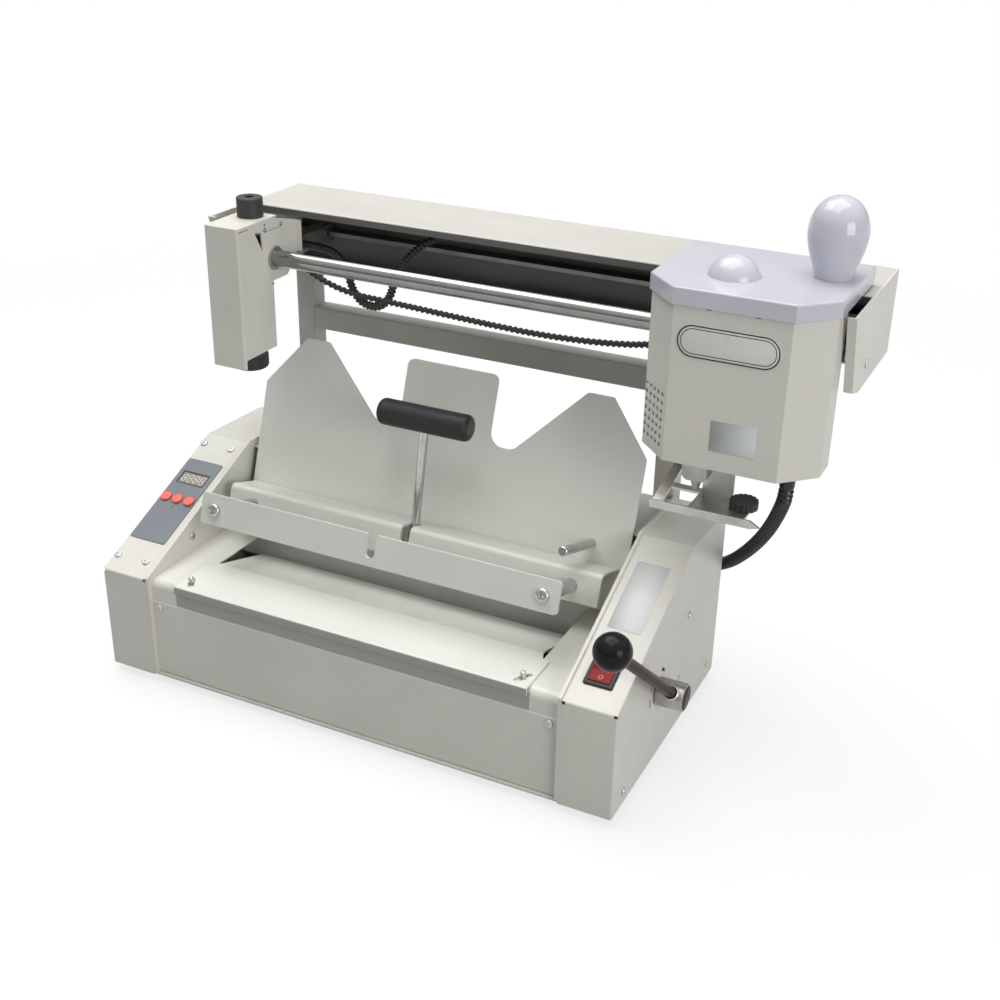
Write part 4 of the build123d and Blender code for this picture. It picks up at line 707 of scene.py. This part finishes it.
# Seven strokes of a digit, each a six-sided bar placed at its middle and turned flat or upright
def addDigits():
    width, height, stroke = display["width"], display["height"], display["stroke"]
    centres = np.array([(0, height / 2), (width / 2, height / 4), (width / 2, -height / 4), (0, -height / 2),
                        (-width / 2, -height / 4), (-width / 2, height / 4), (0, 0)])
    upright = np.array([0, 1, 1, 0, 1, 1, 0])[:, None] == 1
    length = np.where(upright, height / 2, width) - stroke * display["gap"]
    shape = np.array([(-1, 0), (-1, 1), (1, 1), (1, 0), (1, -1), (-1, -1)], float)
    pointed = np.array([1.0, 0.0, 0.0, 1.0, 0.0, 0.0])
    x = shape[:, 0][None, :] * (length / 2 - stroke / 2 * (1 - pointed[None, :]))
    y = np.broadcast_to(shape[:, 1][None, :] * stroke / 2, x.shape)
    bars = np.stack([np.where(upright, -y, x), np.where(upright, x, y)], axis=-1) + centres[:, None, :]
    starts = (np.arange(display["digits"]) - (display["digits"] - 1) / 2) * display["pitch"]
    everyBar = bars[None] + np.stack([starts, np.zeros_like(starts)], axis=-1)[:, None, None, :]
    everyBar[..., 0] += display["slant"] * everyBar[..., 1]
    flat = everyBar.reshape(-1, 2)
    low = np.c_[flat, np.full(len(flat), 0.0)]
    high = np.c_[flat, np.full(len(flat), display["rise"])]
    corners = len(shape)
    first = np.arange(len(flat) // corners)[:, None] * corners
    around = np.arange(corners)[None, :]
    after = (around + 1) % corners
    sides = np.stack([first + around, first + after, first + after + len(flat), first + around + len(flat)],
                     axis=-1).reshape(-1, 4)
    faces = list(sides) + list(first + around + len(flat)) + list((first + around)[:, ::-1])
    spot = onSlope(display["x"], display["up"], display["out"] - display["sink"])
    digits = newPiece("displayDigits", intoPlace(np.r_[low, high], spot), faces, litSegment,
                      smooth=False)
    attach(digits, "frame")
    rim = display["rim"]
    border = outlineBead("displayRim", onSlope(display["x"], display["up"], display["out"]), rim["width"],
                         rim["height"], rim["radius"], rim["line"], rim["rise"], inkBlack)
    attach(border, "frame")


addDigits()

# Rocker: markAlong is a share of its half length, and markDown a share of its valley
rocker = {"x": 224.5, "up": 36.4, "tilt": 8.0, "pivot": 3.5, "rise": 3.9, "valley": 1.6, "halfLength": 11.2,
          "markAlong": 0.55, "markDown": 0.45, "markSize": 4.2, "markRise": 0.12, "ringLine": 0.7,
          "barWidth": 0.8, "barRadius": 0.3, "barRim": 0.05}


# The ring and the bar that are printed on the two faces of the rocker
def addRockerMarks():
    origin, axes = onSlope(rocker["x"], rocker["up"], -rocker["pivot"])
    turn = tilted(math.radians(rocker["tilt"])) @ axes
    fall = math.atan2(rocker["valley"], rocker["halfLength"])
    lift = rocker["pivot"] + rocker["rise"] - rocker["valley"] * rocker["markDown"]
    size, rise = rocker["markSize"], rocker["markRise"]
    spots = []
    for side in (-1, 1):
        middle = origin + np.array([0, side * rocker["halfLength"] * rocker["markAlong"], lift]) @ turn
        spots.append((middle, tilted(fall * side) @ turn))
    ring = outlineBead("rockerRing", spots[0], size, size, size / 2, rocker["ringLine"], rise, markWhite)
    bar = plate("rockerBar", spots[1], rocker["barWidth"], size, rocker["barRadius"], rise, rocker["barRim"],
                markWhite)
    for mark in (ring, bar):
        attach(mark, "rocker")


addRockerMarks()

# Badge: a plate and two lines, each line with its inset and its width
badge = {"x": 282.0, "y": 94.0, "z": 374.0, "width": 78.0, "height": 25.0, "thick": 0.7, "rim": 0.25,
         "flat": 0.5, "lineRise": 0.1, "lines": {"badgeOuterLine": (0.1, 1.1), "badgeInnerLine": (2.6, 0.7)}}


def addBadge():
    width, height = badge["width"], badge["height"]
    radius = height / 2 - badge["flat"]
    spot = facingFront(badge["x"], badge["y"], badge["z"])
    body = plate("badgePlate", spot, width, height, radius, badge["thick"], badge["rim"], badgeFace)
    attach(body, "glue_head")
    top = facingFront(badge["x"], badge["y"] - badge["thick"], badge["z"])
    for name, (inset, line) in badge["lines"].items():
        ring = outlineBead(name, top, width - 2 * inset, height - 2 * inset, radius - inset, line,
                           badge["lineRise"], inkBlack)
        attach(ring, "glue_head")


addBadge()

# Bare labels: one on the glue head's front, one on the right slope
labels = {
    "thick": 0.12, "rim": 0.05,
    "heat": {"spot": (292.0, 94.0, 303.0), "width": 36.0, "height": 25.0, "radius": 0.6},
    "use": {"spot": (224.5, 114.0), "width": 29.0, "height": 72.0, "radius": 1.6},
}


def addLabel(name, spot, label, material, body):
    piece = plate(name, spot, label["width"], label["height"], label["radius"], labels["thick"],
                  labels["rim"], material)
    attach(piece, body)


addLabel("heatLabelPlace", facingFront(*labels["heat"]["spot"]), labels["heat"], labelFilm,
         "glue_head")
addLabel("useLabelPlace", onSlope(*labels["use"]["spot"]), labels["use"], labelWhite,
         "frame")
print("trim placed")

# Lever: the turned hub and the arm that is screwed into it.
# The ring's section runs out from the arm's side and up from the hub's.
lever = {"side": 250.4, "back": 94.0, "height": 68.0, "hubRadius": 12.0, "hubLength": 24.4,
         "hubChamfer": 0.8, "hubRound": 1.0, "faceInset": 1.5, "faceSink": 0.5, "faceRise": 0.3,
         "faceBevel": 0.4, "lean": 50.0, "armRadius": 4.6, "armFoot": 4.0, "armLength": 176.0,
         "ballLength": 190.0, "ballSide": 261.5, "armSide": 264.4,
         "ring": ((-0.1, -3.5), (2.0, -3.5), (2.2, 0.2), (1.8, 0.9), (1.0, 1.3), (0.3, 1.0), (-0.1, 0.2))}


def addLever():
    side, back, height = lever["side"], lever["back"], lever["height"]
    radius, length, edge = lever["hubRadius"], lever["hubLength"], lever["hubRound"]
    outward = lookingFrom((side, back, height), (side + 1, back, height))
    bend = outline["rimBend"] * edge
    hub = turned("leverHub", outward,
                 [(0, 0), (radius - lever["hubChamfer"], 0), (radius, lever["hubChamfer"]),
                  (radius, length - edge), (radius - bend, length - bend), (radius - edge, length),
                  (0, length)], hubSteel, 64)
    rim, top = radius - lever["faceInset"], length + lever["faceRise"]
    face = turned("leverHubFace", outward,
                  [(0, length - lever["faceSink"]), (rim, length - lever["faceSink"]),
                   (rim, length + lever["faceRise"] / 2), (rim - lever["faceBevel"], top), (0, top)],
                  leverPaintedReflection, 48)
    lean = math.radians(lever["lean"])
    reach = lever["ballLength"]
    ball = (lever["ballSide"], back - reach * math.sin(lean), height + reach * math.cos(lean))
    upward = lookingFrom((lever["armSide"], back, height), ball)
    thick, foot, end = lever["armRadius"], lever["armFoot"], lever["armLength"]
    arm = turned("leverArm", upward, [(0, foot), (thick, foot), (thick, end), (0, end)], leverPaintedReflection, 40)
    ring = turned("leverArmRing", upward, np.array(lever["ring"]) + (thick, radius), zinc, 40)
    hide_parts("lever_hub")
    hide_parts("lever_arm")
    for piece in (hub, face, arm, ring):
        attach(piece, "nipping_lever")


addLever()

# Small fastenings of the milling ear. The shapes of a stud and of the black ring of painted shade round it
# are in shares of the stud's radius across and in millimetres up.
ear = {"side": -153.5, "studs": ((142.0, 389.4), (166.5, 389.8)), "studRadius": 1.25, "studSink": 0.9,
       "studShade": ((0, 0), (1.6, 0), (1.6, 1.0), (0, 1.0)),
       "stud": ((0, 0), (1, 0), (1, 1.5), (0.7, 1.85), (0, 2.0)), "sides": 20,
       "weld": {"spot": (154.5, 388.0), "length": 24.0, "width": 0.35, "radius": 0.15, "thick": 0.08,
                "rim": 0.03},
       "screw": {"spot": (150.5, 339.5), "sink": 3.0,
                 "shape": ((0, 0), (1.9, 0), (1.9, 2.2), (1.2, 3.0), (0, 3.2))}}

# Slots under the lid, and the marks of the panel
slots = {"sides": (265.1, 302.2), "front": 94.0, "height": 399.2, "width": 3.6, "tall": 0.9, "radius": 0.3,
         "thick": 0.06, "rim": 0.02}
marks = {"up": 83.0, "middle": -228.9, "pitch": 13.1, "size": 2.4, "stroke": 0.45, "radius": 0.1, "out": 0.8,
         "thick": 0.06, "rim": 0.02, "bars": ((0, "lying"), (0, "standing"), (1, "lying"))}


# A spot sunk into the ear's right face, whose Z axis points right
def onEar(back, height, sink):
    return lookingFrom((ear["side"] - sink, back, height), (ear["side"], back, height))


def addEarFastenings():
    pieces = []
    # Each stud sits in a black ring: painted shade round its edge
    for i, (back, height) in enumerate(ear["studs"]):
        spot = onEar(back, height, ear["studSink"])
        scale = (ear["studRadius"], 1.0)
        for name, shape, material, slotName in (("earStudShade", "studShade", inkBlack, "powder_coat_dark"),
                                                ("earStud", "stud", screwSteel, "screw_steel")):
            pieces.append(turned("%s%d" % (name, i + 1), spot, np.array(ear[shape]) * scale, material,
                                 ear["sides"]))
    weld, screw = ear["weld"], ear["screw"]
    pieces.append(plate("earWeld", facingRight(ear["side"], *weld["spot"]), weld["length"], weld["width"],
                        weld["radius"], weld["thick"], weld["rim"], inkBlack))
    pieces.append(turned("caseScrew", onEar(*screw["spot"], screw["sink"]), screw["shape"], blackMatte,
                         ear["sides"]))
    for piece in pieces:
        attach(piece, "milling_head")


def addSlots():
    for i, side in enumerate(slots["sides"]):
        spot = facingFront(side, slots["front"], slots["height"])
        slot = plate("lidSlot%d" % (i + 1), spot, slots["width"], slots["tall"], slots["radius"],
                     slots["thick"], slots["rim"], inkBlack)
        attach(slot, "glue_head")


def addPanelMarks():
    size, stroke = marks["size"], marks["stroke"]
    for i, (column, way) in enumerate(marks["bars"]):
        width, height = (size, stroke) if way == "lying" else (stroke, size)
        spot = onSlope(marks["middle"] + column * marks["pitch"], marks["up"], marks["out"])
        bar = plate("panelMark%d" % (i + 1), spot, width, height, marks["radius"], marks["thick"],
                    marks["rim"], inkBlack)
        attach(bar, "frame")


addEarFastenings()
addSlots()
addPanelMarks()
print("lever and small marks placed")

# Floor and light: distances in metres, and brightness from nought to one
stage = {
    "floorSize": 60.0, "floorWhite": 0.74, "floorTone": 0.34, "floorSeen": 0.95, "floorPatches": 2.0,
    "patchShade": 0.98, "floorRough": 0.9, "fadeFrom": 0.5, "fadeTo": 1.6,
    "zenith": 0.46, "horizon": 0.20, "below": 0.16, "horizonHeight": 0.55, "belowHeight": 0.40,
    "mirrorFrom": -0.05, "mirrorTo": 0.75, "mirrorDark": 0.12, "aim": (0.05, 0.0, 0.2),
    "lamps": {
        "overheadSoft": {"spot": (-0.1, 0.1, 2.9), "size": (2.7, 2.2), "power": 58.0},
        "sheenSoft": {"spot": (-0.8, 0.38, 1.95), "size": (1.2, 0.9), "power": 11.0},
        "rightFill": {"spot": (1.95, -0.95, 0.8), "size": (1.1, 1.0), "power": 17.0},
    },
}


# The largest of the light-path flags named: one for a ray of any of those kinds
def rayFlags(tree, *labels):
    path = tree.nodes.new("ShaderNodeLightPath")
    flag = path.outputs[labels[0]]
    for label in labels[1:]:
        flag = mathNode(tree, "MAXIMUM", flag, path.outputs[label])
    return flag


# The floor keeps the object's shadow near it and turns to plain white further away
def addStage():
    half = stage["floorSize"] / 2
    mesh = bpy.data.meshes.new("studioFloor")
    mesh.from_pydata([(-half, -half, 0), (half, -half, 0), (half, half, 0), (-half, half, 0)], [],
                     [(0, 1, 2, 3)])
    floor = bpy.data.objects.new("studioFloor", mesh)
    bpy.context.scene.collection.objects.link(floor)
    material, tree, shader = newMaterial("floorWhite")
    where = objectSpot(tree)
    tones = []
    for level in (stage["floorTone"], stage["floorSeen"]):
        patches = noise(tree, where, stage["floorPatches"], detail=3.0, rough=0.5)
        tones.append(mixColour(tree, patches, (level,) * 3, (level * stage["patchShade"],) * 3))
    tone = mixColour(tree, rayFlags(tree, "Is Camera Ray"), *tones)
    tree.links.new(tone, shader.inputs["Base Color"])
    shader.inputs["Roughness"].default_value = stage["floorRough"]
    away = vectorNode(tree, "LENGTH", where)["Value"]
    share = remap(tree, away, stage["fadeFrom"], stage["fadeTo"], stage["floorWhite"], 1.0)
    flags = rayFlags(tree, "Is Camera Ray", "Is Glossy Ray", "Is Transmission Ray")
    glow = tree.nodes.new("ShaderNodeEmission")
    mix = tree.nodes.new("ShaderNodeMixShader")
    tree.links.new(mathNode(tree, "MULTIPLY", share, flags), mix.inputs[0])
    tree.links.new(shader.outputs[0], mix.inputs[1])
    tree.links.new(glow.outputs[0], mix.inputs[2])
    tree.links.new(mix.outputs[0], tree.nodes["Material Output"].inputs["Surface"])
    mesh.materials.append(material)


# Soft sky, brighter overhead; seen straight on it is plain white, and mirrored it darkens downwards
def addWorld():
    world = bpy.data.worlds.new("studioWorld")
    bpy.context.scene.world = world
    world.use_nodes = True
    tree = world.node_tree
    tree.nodes.clear()
    out = tree.nodes.new("ShaderNodeOutputWorld")
    where = tree.nodes.new("ShaderNodeTexCoord").outputs["Generated"]
    height = tree.nodes.new("ShaderNodeSeparateXYZ")
    tree.links.new(where, height.inputs[0])
    ramp = tree.nodes.new("ShaderNodeValToRGB")
    ramp.color_ramp.elements[0].position = stage["belowHeight"]
    ramp.color_ramp.elements[1].position = 1.0
    ramp.color_ramp.elements.new(stage["horizonHeight"])
    for element, level in zip(ramp.color_ramp.elements, ("below", "horizon", "zenith")):
        element.color = (stage[level], stage[level], stage[level], 1.0)
    tree.links.new(remap(tree, height.outputs["Z"], -1.0, 1.0), ramp.inputs["Fac"])
    soft = tree.nodes.new("ShaderNodeBackground")
    tree.links.new(ramp.outputs["Color"], soft.inputs["Color"])
    back = tree.nodes.new("ShaderNodeBackground")
    lifted = remap(tree, height.outputs["Z"], stage["mirrorFrom"], stage["mirrorTo"],
                   stage["mirrorDark"], 1.0)
    grey = mixColour(tree, lifted, (0.0, 0.0, 0.0), (1.0, 1.0, 1.0))
    tree.links.new(mixColour(tree, rayFlags(tree, "Is Glossy Ray"), (1.0, 1.0, 1.0), grey),
                   back.inputs["Color"])
    mix = tree.nodes.new("ShaderNodeMixShader")
    tree.links.new(rayFlags(tree, "Is Camera Ray", "Is Glossy Ray", "Is Transmission Ray"), mix.inputs[0])
    tree.links.new(soft.outputs[0], mix.inputs[1])
    tree.links.new(back.outputs[0], mix.inputs[2])
    tree.links.new(mix.outputs[0], out.inputs["Surface"])


def addLamp(name, spot, size, power):
    data = bpy.data.lights.new(name, "AREA")
    data.shape = "RECTANGLE"
    data.size, data.size_y = size
    data.energy = power
    lamp = bpy.data.objects.new(name, data)
    look = np.array(stage["aim"], float) - np.array(spot, float)
    look /= np.linalg.norm(look)
    right = rightOf(look)
    lamp.matrix_world = lookMatrix(right, np.cross(right, look), look, spot)
    bpy.context.scene.collection.objects.link(lamp)


addStage()
addWorld()
for lampName, lamp in stage["lamps"].items():
    addLamp(lampName, lamp["spot"], lamp["size"], lamp["power"])
bpy.context.scene.view_settings.view_transform = "Standard"
print("stage set")
